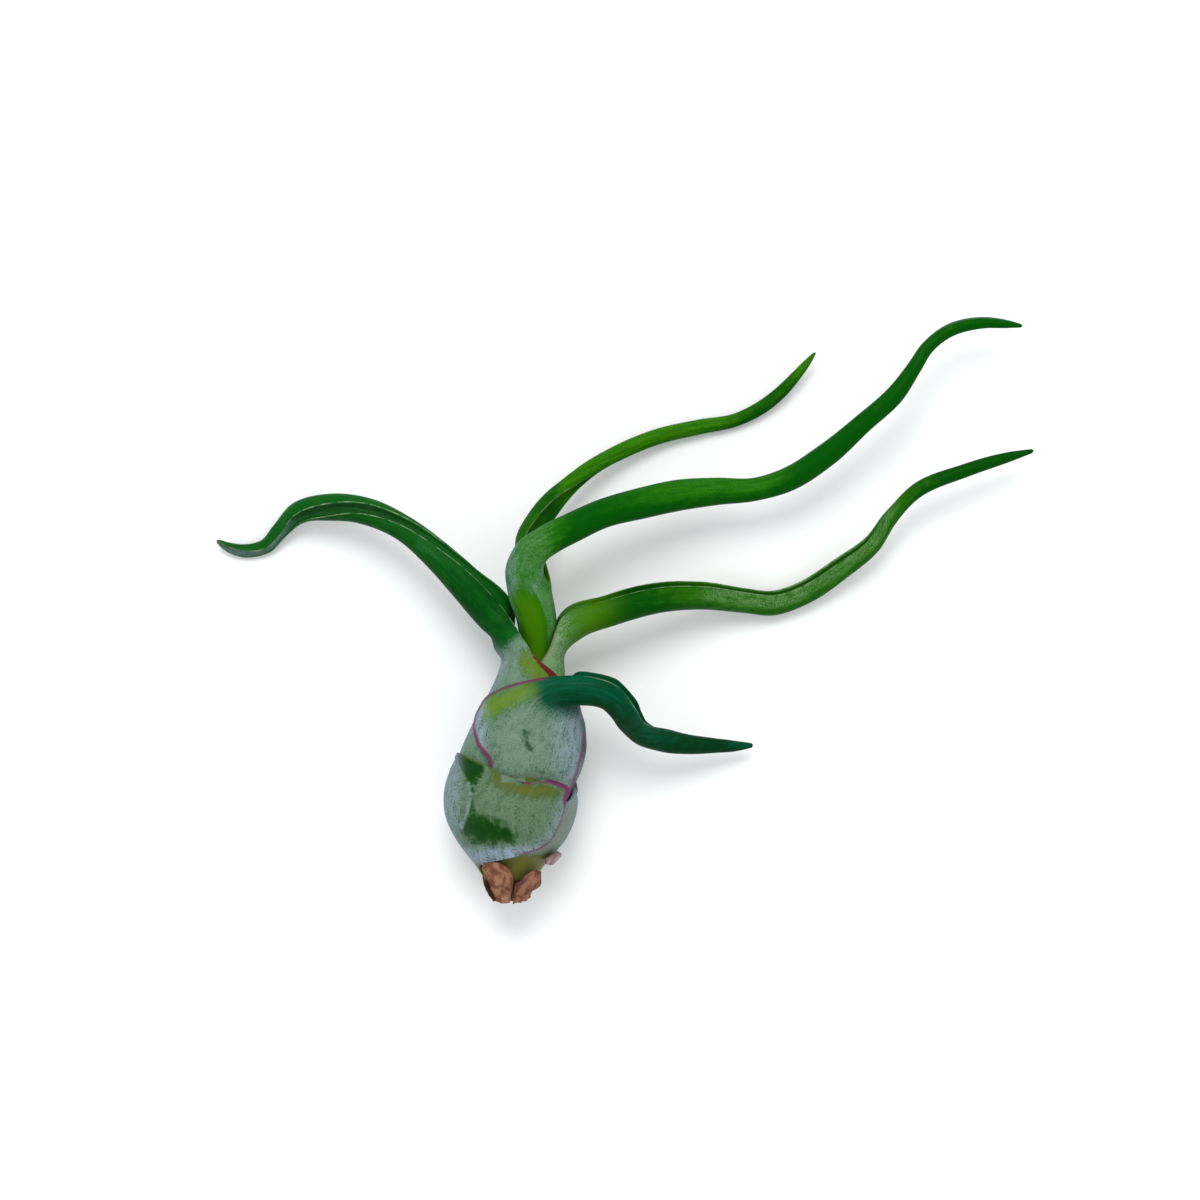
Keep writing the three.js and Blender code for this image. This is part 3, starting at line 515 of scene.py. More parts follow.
def leaf_skin_group():
    """Living leaf: green flesh, yellow-green where it was covered, with mottled dark windows and
    painted shade, a cover of minute silver scales, painted bluish light where the pale mark
    lies, a fine pale line along a lip that is a painted highlight, and a stained margin."""
    marks = {mark.capitalize(): "Float" for mark in leaf_marks}
    shades = dict.fromkeys(
        ("Green", "Deep green", "Yellow green", "Scurf", "Stain colour"), "Color")
    group, bench, given, result = new_group(
        "leaf skin", {"Place": "Vector", **marks, **shades},
        {"Colour": "Color", "Roughness": "Float", "Height": "Float"})
    # the bluish grey of the painted light on the flanks, and the grey of the painted highlight
    # along a lip
    painted_light_grey, lip_highlight_grey = colour(138, 152, 174), colour(120, 142, 108)
    place = given["Place"]
    grains = bench.cloud(place, (3.4, 3.0, 1.0), 5.0, 0.75)
    mottle = bench.cloud(place, (0.85, 0.55, 1.0), 4.0, 0.62)
    streaks = bench.cloud(place, (2.2, 0.15, 1.0), 3.0, 0.6)
    veins = bench.cloud(place, (5.5, 0.1, 1.0), 2.0, 0.5)

    flesh = bench.mix(bench.rise(bench.sum(streaks, bench.swing(grains, 1.1)), 0.3, 0.7),
                      bench.mix(0.6, given["Green"], given["Deep green"]), given["Green"])
    # darker flesh: mottled dark windows, and painted shade where the Dark mark carries it, on the
    # side of a blade turned from the light
    darkening = bench.rise(bench.sum(
        given["Dark"], bench.swing(mottle, 1.1), bench.swing(grains, 1.3)), 0.08, 0.94)
    flesh = bench.mix(darkening, flesh, given["Deep green"])
    flesh = bench.mix(bench.times(given["Yellow"], 0.9), flesh, given["Yellow green"])

    cover = bench.rise(bench.sum(
        given["Silver"], bench.swing(grains, 1.5), bench.swing(mottle, 0.9),
        bench.swing(streaks, 0.3), bench.times(darkening, -0.8),
        bench.times(given["Yellow"], -0.5)), 0.12, 1.02)
    skin = bench.mix(cover, flesh, given["Scurf"])
    # painted light in a bluish grey where the Pale mark lies: painted sheen of the silver scales at
    # the flanks, a painted highlight on a fold, and lighter insides
    painted_light = bench.times(given["Pale"], bench.rise(bench.sum(
        grains, bench.swing(streaks, 0.3), bench.swing(mottle, 0.6)), 0.3, 0.66))
    skin = bench.mix(painted_light, skin, painted_light_grey)

    # a fine pale line along the lit edge of a lip, a painted highlight
    at_margin = bench.number("SUBTRACT", 1.0, bench.rise(given["Rim"], 0.03, 0.16))
    broken_lip_highlight = bench.times(given["Lip"], bench.rise(mottle, 0.36, 0.66))
    skin = bench.mix(bench.times(at_margin, broken_lip_highlight), skin, lip_highlight_grey)
    stained = bench.rise(bench.sum(
        given["Stain"], bench.swing(grains, 0.4), bench.swing(mottle, 0.3)), 0.12, 0.92)
    skin = bench.mix(bench.times(stained, 0.92), skin, given["Stain colour"])

    bench.feed(result["Colour"], skin)
    bench.feed(result["Roughness"], bench.sum(0.42, bench.times(cover, 0.3)))
    raised = bench.times(grains, bench.sum(cover, 0.15))
    bench.feed(result["Height"], bench.sum(raised, bench.times(veins, 0.35)))
    return group


leaf_skin = leaf_skin_group()


def leaf_material(name, green, deep, scurf=colour(110, 132, 110), stain=colour(104, 34, 84),
                  yellow=colour(100, 128, 52), sheen=0.04, shine=0.03):
    """A leaf's material. Sheen is the bluish light on skin seen at a slant, shine its gloss."""
    material = bpy.data.materials.new(name)
    material.use_nodes = True
    bench = Bench(material.node_tree)
    shader = material.node_tree.nodes["Principled BSDF"]
    made = bench.node("ShaderNodeGroup", {"node_tree": leaf_skin}, Green=green, Deep_green=deep,
                      Scurf=scurf, Stain_colour=stain, Yellow_green=yellow,
                      Place=bench.mark("place", "Vector"),
                      **{mark.capitalize(): bench.mark(mark) for mark in leaf_marks})
    bench.feed(shader.inputs["Base Color"], made.outputs["Colour"])
    bench.feed(shader.inputs["Roughness"], made.outputs["Roughness"])
    shader.inputs["Specular IOR Level"].default_value = shine
    shader.inputs["Sheen Weight"].default_value = sheen
    shader.inputs["Sheen Roughness"].default_value = 0.16
    shader.inputs["Sheen Tint"].default_value = colour(130, 175, 255)
    bump = bench.node("ShaderNodeBump", Height=made.outputs["Height"], Strength=0.35,
                      Distance=0.12 * MM)
    bench.feed(shader.inputs["Normal"], bump.outputs["Normal"])
    return material


def on_top(leaf):
    """1 on the upper half of the bulb, 0 below its middle."""
    return soft(leaf.z, 10.5, 13.5) * soft(leaf.outer, 0.2, 0.8)


def finish_leaf(name, node, leaf, material, slot, **marks):
    """Makes the mesh of a grown leaf, with its marks clipped to 0 and 1, and fixes it in place."""
    marks = {"rim": leaf.edge, **marks}
    shown = {mark: np.clip(np.broadcast_to(marks.get(mark, 0.0), leaf.x.shape), 0, 1)
             for mark in leaf_marks}
    piece = skin_mesh(name, leaf.points, leaf.faces, {"place": leaf.place, **shown})
    piece.data.materials.append(material)
    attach(piece, "root")
    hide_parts(node)


lower_right = grow(through([
    (-12.9, 3.9, 0, 0), (-11.2, 4.9, 0, 0), (-9.6, 6.2, 0, 0), (-8, 7.5, 0, -0.1),
    (-6.4, 8.8, -0.1, -0.4), (-4.8, 9.8, -0.2, -0.6), (-3.2, 10.4, -0.3, -0.7),
    (-1.6, 10.7, -0.3, -0.7), (0, 10.7, -0.3, -0.7), (2, 10.5, -0.3, -0.7), (6, 10.2, -0.1, -0.6),
    (10, 10.0, 0, -0.4),
]), [
    [(-138, -12.9, 0), (4, -12.9, 0), (148, -12.9, 0)],
    [(-140, -10.8, 0), (2, -10.9, 0), (148, -10.7, 0)],
    [(-138, -8.4, 0), (-14, -8.8, 0), (112, -9.3, 0)],
    [(-134, -5, 0), (-36, -5.6, 0), (66, -6.4, 0.1)],
    [(-132, -1.6, 0), (-43, -1.8, 0), (48, -1.8, 0.5)],
    [(-126, 0.4, 0), (-45, 0.6, 0), (32, 0.0, 0.5)],
    [(-106, 2.0, 0), (-45, 2.4, 0), (8, 1.2, 0.4)],
    [(-80, 3.9, 0.1), (-45, 4.6, 0.3), (-16, 3.6, 0.2)],
    [(-58, 6.6, 0.3), (-44, 6.9, 0.6), (-32, 6.6, 0.4)],
    [(-45.5, 8.6, 0.9), (-44, 8.7, 1.0), (-42.5, 8.6, 0.9)],
], step=0.3, columns=97)
collar = soft(lower_right.y, -7.8, -9.6)
finish_leaf(
    "sheath_lower_right", "leaf_lower_right", lower_right,
    leaf_material("sheath_lower_right", colour(66, 92, 40), colour(24, 66, 20),
                  scurf=colour(118, 130, 120), yellow=colour(104, 100, 44), sheen=0.35, shine=0.08),
    "silver_sheath",
    silver=0.85 - 0.6 * collar,
    # pale here is painted light: a bluish sheen near the margins, and lighter on the inside, where
    # shade falls
    pale=0.3 * (1 - collar) * soft(lower_right.edge, 3.0, 0.5) + 0.5 * (1 - lower_right.outer),
    yellow=0.9 * collar,
    dark=0.2 * soft(lower_right.y, -4, 2) * (1 - collar),
    stain=0.5 * soft(lower_right.y, -12.0, -12.9) + 0.3 * soft(lower_right.edge, 0.5, 0.1))


# Lower left leaf. The next sheath, wrapped over the left and front of the bulb. Its short tip
# stands up as a dark horn, it has a fold beside it, and its free upper margin curls out, purple.

horn_fold = [(-6.8, 2.9), (-6.5, 0.9), (-7.0, -1.7), (-8.0, -4.1)]


def lower_left_curl(outer, to_edge):
    x, y, z = np.moveaxis(outer, -1, 0)
    free = soft(x, 0.0, 5.0) * soft(y, -2.5, 1.0) * soft(z, 9.0, 14.0)
    fold = 0.22 * np.exp(-(line_distance(x, y, horn_fold) / 0.45) ** 2) * soft(z, 10.0, 13.0)
    return fold + (0.1 + 0.3 * free) * np.exp(-to_edge / 0.55) * (1 + 0.4 * grain(0.5 * x, 0.5 * y))


lower_left = grow(through([
    (-12.7, 3.8, 0, 0), (-11.6, 4.5, 0, 0), (-10.4, 5.5, 0, 0.1), (-9.6, 6.3, 0, 0.2),
    (-8.8, 6.9, 0, 0.3), (-8, 7.6, 0, 0.5), (-6.4, 8.8, 0.1, 0.7), (-4.8, 9.7, 0.1, 0.9),
    (-3.2, 10.4, 0.1, 0.9), (-1.6, 10.8, 0.2, 0.9), (0, 11.0, 0.2, 0.9), (2, 10.9, 0.2, 0.9),
    (4, 10.6, 0.1, 0.9), (6, 10.3, 0, 0.9), (8, 10.1, 0, 0.8),
]), [
    [(144, -12.7, 0.8), (178, -12.7, 0), (206, -12.7, 0)],
    [(140, -10.4, 0.8), (176, -10.2, 0), (207, -10.2, 0)],
    [(122, -9.8, 0.9), (172, -9.0, 0), (209, -8.8, 0)],
    [(84, -8.7, 1.0), (162, -7.5, 0), (212, -7.3, 0)],
    [(54, -7.1, 0.8), (156, -5.6, 0), (214, -5.6, 0)],
    [(43, -3.4, 0.4), (151, -2.8, 0), (214, -2.8, 0)],
    [(40, 0.4, 0.1), (147, 0, 0), (212, 0.3, 0)],
    [(38.5, 2.4, 0), (142, 1.7, 0), (206, 2.0, 0)],
    [(56, 3.4, 0.1), (139, 2.9, 0), (197, 3.3, 0)],
    [(82, 3.3, 0.3), (138, 4.1, 0), (187, 4.5, 0)],
    [(101, 4.5, 0.5), (139, 5.2, 0.2), (177, 5.5, 0)],
    [(116, 5.8, 0.5), (143, 6.2, 0.6), (168, 6.4, 0.1)],
    [(132, 6.7, 0.7), (148, 7.0, 1.0), (161, 7.1, 0.6)],
    [(149, 7.7, 1.1), (151, 7.8, 1.2), (153, 7.8, 1.1)],
], step=0.22, columns=97, curl=lower_left_curl)
top = on_top(lower_left)
x, y = lower_left.x, lower_left.y
uneven = ragged(x, y, 1.3, 0.8)
horn = soft(within(x, y, [(-9.6, 9.0), (-3.9, 5.6), (-6.2, 1.7)]) + 0.5 * uneven, -0.3, 0.8)
# the dark windows where the silver is thin, and a dark line beside the horn's fold
darkening = soft(within(x, y, [(-7.7, -1.4), (-4.4, -1.7), (-0.6, -3.4), (1.4, -5.2), (0.2, -6.8),
                            (-5.8, -7.3), (-8.0, -5.0)]) + 0.9 * uneven, -1.5, 2.3)
darkening = np.maximum(darkening, soft(line_distance(x, y, [(-6.2, 0.2), (-6.4, -2.4)]), 0.8, 0.0) * 0.6)
# behind the free margin a strip is coloured like the silver sheath that it lies against
behind = soft(x, -1.8, -1.2) * soft(x, 3.0, 2.2) * soft(y, 3.0, 3.3)
olive = soft(line_distance(x, y, [(-2.4, 3.8), (0.8, 2.3), (4.0, 1.7), (6.2, 1.7)])
             + ragged(x, y, 0.8, 0.5), 1.8, 0.1)
corner = soft(np.hypot(x - 7.8, y - 2.2), 4.2, 1.2)
rim_width = 0.34 + 0.5 * corner + 0.12 * soft(y, 0.0, -3.0)
foot_band = (0.7 * soft(y, -6.4, -8.0) + 0.5 * soft(lower_left.low, 2.8, 0.8) * soft(y, 1.0, -1.0)
             ) * soft(y, -10.4, -9.4)
# the left wing gets painted light: the bluish sheen of its flank
wing = (0.42 + 0.26 * soft(y, -4.5, 0.0)) * soft(x, -7.0, -9.4) * soft(y, -9.8, -8.6)
thin_margin = 0.8 * soft(lower_left.low, 0.5, 0.1) * soft(x, 1.2, -0.6) * soft(y, 0.0, 2.0)
finish_leaf(
    "sheath_lower_left", "leaf_lower_left", lower_left,
    leaf_material("sheath_lower_left", colour(50, 88, 36), colour(0, 53, 0),
                  scurf=colour(100, 122, 101), yellow=colour(84, 92, 34), sheen=0.3, shine=0.08),
    "silver_sheath",
    silver=(0.66 - 0.6 * horn * top) * soft(lower_left.outer, 0.2, 0.8) + 0.7 * behind,
    # pale: a painted highlight along the horn's fold, a pale band at the foot and low margin, and
    # the painted sheen of the wing
    pale=top * (0.65 * soft(line_distance(x, y, horn_fold), 0.45, 0.05) + foot_band) + wing,
    yellow=(1 - behind) * (top * olive + 0.9 * (1 - lower_left.outer) + thin_margin)
    + 0.9 * soft(y, -9.3, -10.6),
    dark=top * (0.8 * darkening + 0.9 * horn + 0.04),
    stain=top * soft(lower_left.low / rim_width, 1.25, 0.6) * soft(x, -0.4, 2.2)
    * np.where(y > -0.8, 0.9, 0.7))


# Hooked leaf. Its sheath is the broad silver face of the bulb, streaked and stained purple along
# its margins, and its blade hooks over to the right and lies dark and nearly closed.


def loose_margin(outer, to_edge):
    x, y, z = np.moveaxis(outer, -1, 0)
    return 0.07 * np.exp(-to_edge / 0.5) * (1 + grain(0.45 * x, 0.45 * y, 0.45 * z))


hooked = grow(through([
    (-10.4, 4.2, 0, 0), (-8, 5.8, 0, 0.2), (-6, 6.9, 0, 0.3), (-4, 7.9, 0, 0.5), (-2, 8.7, 0, 0.6),
    (0, 9.0, 0.1, 0.7), (2, 9.6, 0.2, 0.7), (4, 10.2, 0.2, 0.6), (6, 10.3, 0.2, 0.6),
    (8, 10.1, 0.2, 0.6), (10, 9.7, 0.1, 0.6), (12, 9.1, 0.1, 0.6), (14, 8.4, 0, 0.6),
    (16, 7.7, 0, 0.6), (18, 7.0, 0, 0.6), (20, 6.4, 0, 0.5),
]), [
    [(30, -10.4, 0), (65, -10.4, 0), (100, -10.4, 0)],
    [(28, -6.5, 0), (66, -6.5, 0), (104, -6.5, 0)],
    [(20, -2, 0), (66, -2, 0), (110, -2, 0)],
    [(6, 2, 0), (66, 2.4, 0), (114, 3, 0)],
    [(3, 6, 0), (67, 6.6, 0), (119, 6.8, 0.15)],
    [(2, 9.5, 0), (68, 9.3, 0), (136, 9.3, 0.6)],
    [(-8, 12.6, 0), (67, 11.2, 0), (154, 12.2, 0.7)],
    [(-16, 15.2, 0), (64, 12.6, 0), (159, 14.6, 0.6)],
    [(-12, 17.2, 0), (58, 13.7, 0.1), (148, 16.8, 0.6)],
    [(8, 18.4, 0), (52, 14.6, 0.2), (124, 18.2, 0.6)],
], [
    (11.6, 17.95, 18.0, 2.75, 76, 150),
    (15.4, 17.1, 17.8, 2.6, 66, 156), (17.6, 15.0, 16.2, 2.42, 62, 156),
    (18.9, 12.8, 13.8, 2.2, 66, 158), (21.0, 10.6, 11.2, 1.95, 84, 160),
    (24.7, 9.4, 8.8, 1.85, 112, 160), (28.6, 8.8, 6.9, 1.55, 125, 160),
    (32.4, 8.6, 5.2, 1.2, 130, 160), (36.2, 8.5, 3.8, 0.8, 130, 160),
    (38.8, 8.6, 3.2, 0.3, 130, 160),
], step=0.3, columns=73, curl=loose_margin)
x, y = hooked.x, hooked.y
top = on_top(hooked)
bladed = soft(x + 0.5 * (y - 16), 1.8, 8.2) * soft(y, 12.2, 15.8)
bladed = np.maximum(bladed, soft(x, 10.8, 12.0))
silvery = 1 - bladed
uneven = ragged(x, y, 1.0, 1.0)
streak = soft(line_distance(x, y, [(2.3, 11.4), (2.2, 9.9), (3.0, 8.7)]) + uneven, 1.6, -0.2)
streak += 0.7 * soft(line_distance(x, y, [(3.6, 5.5), (4.9, 4.5)]) + uneven, 0.9, -0.4)
flank = soft(line_distance(x, y, [(11.9, 11.4), (11.3, 8.0), (10.5, 4.8), (9.2, 1.4)]), 0.55, 0.1)
purple = soft(hooked.edge, 0.95, 0.3) * soft(x + 0.5 * (y - 16), 8.6, 6.8)
low_left = soft(x, 0.0, -3.0) * soft(y, 12.0, 6.0)
upper_margin = line_distance(x, y, [(-4.2, 14.4), (-1.0, 16.2), (3.0, 17.9)])
finish_leaf(
    "leaf_hooked_fine", "leaf_hooked", hooked,
    leaf_material("leaf_hooked", colour(2, 80, 56), colour(0, 46, 14),
                  scurf=colour(108, 130, 110), yellow=colour(92, 124, 34),
                  stain=colour(104, 34, 74), sheen=0.3),
    "green_leaf",
    silver=soft(hooked.outer, 0.2, 0.8) * (0.02 + silvery * (
        0.72 - 0.08 * soft(x, 0.0, -2.6) + 0.1 * soft(np.hypot(x - 2, y - 9), 6, 1))),
    # pale: painted sheen of the silver scales on both flanks of the bulb
    pale=silvery * top * (0.65 * soft(x, 5.0, 9.5) + 0.8 * soft(x, -3.0, -4.8)),
    yellow=silvery * top * soft(upper_margin + 0.6 * uneven, 2.8, 0.2),
    # the blade is darker on its side turned from the light, painted shade
    dark=silvery * (0.5 * streak + 0.05 * top) + bladed * (
        0.3 + 0.5 * soft(x, 20, 30) * soft(x, 37, 33) + 0.4 * soft(-hooked.sunny, 0, 0.9)),
    stain=((0.66 + 0.3 * low_left) * purple + 0.66 * flank) * (
        1 + 0.4 * grain(0.3 * x, 0.3 * y)),
    lip=soft(x, 11.0, 13.0))


# Left leaf. A bulging sheath that makes the neck and the bulb's left side; its thick crimson lip
# opens below the centre leaf. Its channelled blade arches over to the left and curls at the tip.

left = grow(through([
    (-9.4, 3.4, 0, 0), (-8, 4.4, 0, 0), (-6, 5.8, 0, 0), (-4, 6.9, 0, 0), (-2, 7.7, 0, 0.1),
    (0, 8.1, 0, 0.2), (2, 8.3, 0, 0.2), (4, 8.4, 0, 0.2), (6, 8.4, 0, 0.2), (8, 8.3, 0, 0.2),
    (10, 8.0, 0, 0.2), (12, 7.5, 0, 0.2), (14, 6.9, 0, 0.2), (16, 6.3, 0, 0.1), (18, 5.75, 0, 0.1),
    (20, 5.3, 0, 0), (22, 5.0, 0, 0), (24, 5.0, 0, 0), (27, 5.2, 0, 0),
]), [
    [(60, -9.4, 0), (170, -9.4, 0), (280, -9.4, 0)],
    [(30, -5.5, 0), (170, -5.5, 0.2), (285, -5.5, 0)],
    [(12, 0, 0.1), (170, 0, 0.9), (288, 0, 0)],
    [(8, 6, 0.1), (170, 6, 1.35), (288, 6, 0)],
    [(12, 12, 0.1), (170, 12, 1.45), (286, 12, 0)],
    [(24, 17, 0.4), (170, 17, 0.8), (280, 16.8, 0)],
    [(52, 20.6, 0.3), (169, 20.4, 0.3), (266, 20, 0)],
    [(84, 22.8, 0.1), (166, 22.4, 0.1), (252, 21.8, 0)],
    [(104, 25.3, 0), (160, 24.4, 1.2), (236, 23.2, 0.4)],
], [
    (-2.3, 29.1, 11.2, 3.12, -62, 150), (-7.98, 35.3, 12.0, 2.8, -60, 155),
    (-12.2, 39.4, 11.6, 2.4, -46, 158), (-16.9, 43.2, 10.4, 2.1, -30, 158),
    (-23.3, 46.2, 8.0, 2.2, -8, 156), (-29.1, 46.9, 5.6, 2.2, 14, 152),
    (-34.6, 45.9, 3.6, 1.8, 34, 150), (-37.6, 43.0, 2.1, 1.35, 52, 150),
    (-39.9, 40.6, 1.33, 1.2, 56, 140), (-43.2, 39.9, 1.13, 1.1, 52, 130),
    (-46.0, 40.6, 1.6, 0.75, 48, 130), (-47.7, 41.6, 2.2, 0.3, 46, 130),
], step=0.4, columns=57,
    hollow=lambda x: np.interp(x, (-38, -33, -20, -13, -7), (0.0, 0.24, 0.2, 0.06, -0.04)))
x, y = left.x, left.y
bladed = soft(y - 0.8 * (x + 2), 21.8, 26.6)
lip_width = np.interp(x, (2.2, 3.6, 5.0, 6.6, 8.2), (0.02, 0.28, 0.9, 1.6, 1.8))
curled = soft(x, -26, -38)
channel = (1 - left.outer) * soft(x, -10, -22)
crease = soft(line_distance(
    x, y, [(-1.6, 28.6), (-5.4, 32.6), (-11.0, 38.2), (-15.0, 40.7)]), 1.9, 0.1)
mouth = line_distance(x, y, [(2.6, 22.4), (4.0, 20.4), (5.4, 19.2)]) + ragged(x, y, 0.6, 0.6)
finish_leaf(
    "leaf_left_fine", "leaf_left", left,
    leaf_material("leaf_left", colour(16, 86, 20), colour(0, 58, 10),
                  scurf=colour(108, 134, 116), yellow=colour(90, 118, 14),
                  stain=colour(98, 4, 20), sheen=0.3),
    "green_leaf",
    silver=(0.74 * (1 - bladed) + 0.06 + 0.16 * bladed * curled) * soft(left.outer, 0.2, 0.8)
    + (0.26 + 0.4 * soft(x, -34, -38)) * channel + 0.26 * crease * bladed * left.outer,
    # pale: painted sheen of the silver scales low on the bulb's flank, and paler inside the curled
    # tip
    pale=(1 - bladed) * 0.8 * soft(left.z, 15.5, 12.0) * soft(x, 1, -2)
    + 0.4 * channel * soft(x, -34, -38),
    yellow=(1 - bladed) * soft(mouth, 2.6, 0.5),
    # the blade is darker on its side turned from the light, painted shade
    dark=bladed * (0.5 - 0.3 * soft(x, -6, -16) + 0.4 * soft(-left.sunny, 0.0, 0.9)) * left.outer
    + 0.1 * channel,
    stain=on_top(left) * soft(x, 2.2, 2.8) * soft(y, 24.5, 23.6)
    * soft(left.low / lip_width, 1.2, 0.8),
    lip=bladed)


# Right leaf. Its sheath wraps the right of the neck, with a faint pink margin, and its long blade
# sweeps out low to the right in two waves, channelled along its upper side.

right = grow(through([
    (-8.4, 2.8, 0, 0), (-6, 4.4, 0.1, 0.1), (-4, 5.3, 0.3, 0.1), (-2, 6.0, 0.5, 0.2),
    (0, 6.4, 0.6, 0.3), (4, 6.7, 0.6, 0.3), (8, 6.6, 0.6, 0.3), (12, 5.9, 0.7, 0.3),
    (16, 4.8, 0.8, 0.2), (20, 4.15, 1.1, 0), (22, 4.05, 1.1, 0), (24, 4.0, 1.1, 0),
    (27, 4.1, 1.1, 0),
]), [
    [(-100, -8.4, 0), (0, -8.4, 0), (100, -8.4, 0)],
    [(-104, -4, 0), (0, -4, 0), (100, -4, 0)],
    [(-108, 3, 0), (0, 3, 0), (100, 3, 0)],
    [(-108, 10, 0), (0, 10, 0), (98, 10, 0)],
    [(-106, 16, 0), (0, 16, 0), (96, 16, 0)],
    [(-100, 20.5, 0), (0, 20.5, 0), (90, 21.5, 0)],
    [(-84, 22.6, 0), (0, 23.2, 0), (68, 24.0, 0)],
], [
    (9.5, 28.0, 11.3, 2.75, 78, 146), (15.6, 30.3, 11.6, 2.55, 64, 158),
    (23.7, 32.4, 9.8, 2.45, 60, 160), (30.4, 32.7, 6.8, 2.25, 60, 160),
    (37.4, 31.9, 3.5, 2.0, 60, 160), (41.9, 31.5, 2.06, 2.0, 58, 160),
    (46.8, 33.1, 2.3, 1.9, 54, 160), (53.0, 37.2, 4.0, 1.8, 50, 160),
    (58.0, 41.2, 5.6, 1.5, 56, 160), (60.7, 45.2, 6.8, 1.25, 80, 160),
    (64.6, 49.3, 7.6, 1.2, 110, 160), (72.8, 52.8, 7.6, 1.1, 130, 160),
    (79.9, 55.0, 6.8, 0.8, 130, 160), (83.8, 56.0, 6.3, 0.3, 130, 160),
], step=0.4, columns=57)
x, y = right.x, right.y
bladed = soft(x, 7.5, 14.0)
deep = np.interp(x, (12, 18, 24, 32, 60, 70), (0.3, 1.0, 0.6, 0.0, 0.05, 0.9))
finish_leaf(
    "leaf_right_fine", "leaf_right", right,
    leaf_material("leaf_right", colour(42, 102, 8), colour(0, 67, 0),
                  scurf=colour(120, 154, 106), yellow=colour(64, 114, 0),
                  stain=colour(120, 36, 60), sheen=0.2),
    "green_leaf",
    silver=(0.74 * (1 - bladed) + 0.06 + 0.3 * soft(x, 24, 34) * soft(x, 68, 58))
    * soft(right.outer, 0.2, 0.8),
    pale=0.1 * (1 - bladed),
    yellow=0.75 * soft(x, 5.5, 9.5) * soft(x, 20, 12),
    # the blade is darker on its side turned from the light, painted shade
    dark=bladed * (deep + 0.5 * soft(-right.sunny, 0.1, 0.9)),
    stain=(1 - bladed) * 0.5 * soft(right.high, 0.4, 0.15) * soft(y, 30.5, 26.0),
    lip=soft(x, 12, 16) * soft(x, 60, 52))


# Centre leaf. The tall one: it rises from the throat bright yellow-green, folds over to the right
# in a silvery bend and runs out as the longest and thickest blade.

centre = grow(through([
    (-7.4, 2.3, 0, 0), (-5, 3.3, 0.1, 0), (-2, 4.4, 0.3, 0.1), (2, 5.2, 0.4, 0.2),
    (6, 5.3, 0.4, 0.2), (10, 5.0, 0.4, 0.2), (14, 4.1, 0.5, 0.2), (18, 3.15, 0.6, 0.2),
    (21, 2.7, 0.7, 0.2), (24, 2.65, 0.6, 0.3), (27, 2.95, 0.6, 0.8), (30, 3.45, 0.55, 1.5),
]), [
    [(-40, -7.4, 0), (95, -7.4, 0), (230, -7.4, 0)],
    [(-44, -2, 0), (95, -2, 0), (234, -2, 0)],
    [(-44, 6, 0), (95, 6, 0), (234, 6, 0)],
    [(-40, 13, 0), (97, 13, 0), (232, 13, 0)],
    [(-32, 19, 0), (98, 19, 0), (228, 19, 0)],
    [(-22, 24, 0), (100, 24, 0), (220, 24, 0)],
    [(-12, 28.6, 0), (102, 28.6, 0), (210, 28.6, 0)],
], [
    (2.85, 33.6, 13.9, 3.5, 202, 100), (2.35, 36.6, 15.4, 3.35, 216, 98),
    (3.0, 39.2, 16.2, 2.8, 218, 120), (5.6, 41.4, 16.1, 2.5, 210, 146),
    (9.6, 43.5, 15.0, 2.42, 204, 158), (14.6, 45.8, 13.6, 2.35, 200, 160),
    (20.5, 47.4, 12.0, 2.5, 198, 160), (27.0, 48.8, 10.6, 2.5, 196, 160),
    (33.0, 49.4, 9.7, 2.2, 196, 160), (38.8, 49.7, 9.3, 1.88, 196, 160),
    (43.7, 51.1, 9.3, 1.95, 196, 160), (50.3, 55.2, 9.9, 1.92, 194, 160),
    (56.1, 60.2, 10.8, 1.6, 190, 160), (61.4, 65.0, 11.3, 1.5, 184, 160),
    (64.3, 69.1, 11.1, 1.2, 176, 160), (66.5, 72.4, 10.5, 1.08, 170, 160),
    (69.6, 74.9, 9.8, 1.08, 166, 160), (75.2, 76.4, 8.8, 0.96, 164, 160),
    (79.4, 76.2, 8.4, 0.66, 164, 160), (81.9, 75.9, 8.2, 0.25, 164, 160),
], wall=0.7, step=0.4, columns=57)
x, y = centre.x, centre.y
base = soft(y, 35.5, 30.5) * soft(x, 8.5, 6.5)
bend = soft(y, 30, 34) * soft(x, 8.5, 4.5)
from_middle = np.abs(centre.across)
bend_edge = line_distance(x, y, [(5.3, 37.6), (4.4, 35.2), (3.3, 33.2)])
deep = np.interp(x, (6, 11, 20, 28, 40, 48, 60, 72), (0.0, 1.0, 0.5, 0.0, 0.05, 1.0, 0.8, 0.75))
finish_leaf(
    "leaf_centre_fine", "leaf_centre", centre,
    leaf_material("leaf_centre", colour(34, 102, 4), colour(0, 72, 0),
                  scurf=colour(84, 128, 78), yellow=colour(58, 110, 0), sheen=0.25),
    "green_leaf",
    silver=0.14 - 0.14 * deep + 0.34 * bend + 0.5 * base * soft(from_middle, 1.8, 2.7),
    # pale: painted sheen along the left flank and edge of the bend, and a painted bluish highlight
    # along the lit edge of the blade
    pale=0.35 * soft(x, 1.6, 0.0) * soft(y, 31, 35) * soft(y, 44, 40)
    + 0.3 * soft(bend_edge, 0.6, 0.1)
    + 0.32 * soft(centre.sunny, 0.6, 0.95) * soft(x, 40, 52) * centre.outer,
    yellow=0.95 * base * soft(from_middle, 3.0, 1.0),
    # painted shade: the blade is darker on its side turned from the light
    dark=deep + 0.3 * (1 - centre.outer) + 0.8 * soft(-centre.sunny, -0.2, 0.7) * soft(x, 6, 12))


# Rear leaf. It leaves the throat behind the centre leaf, bright green, and winds up and to the
# right as the slimmest blade, its channel turned to the right and downwards.

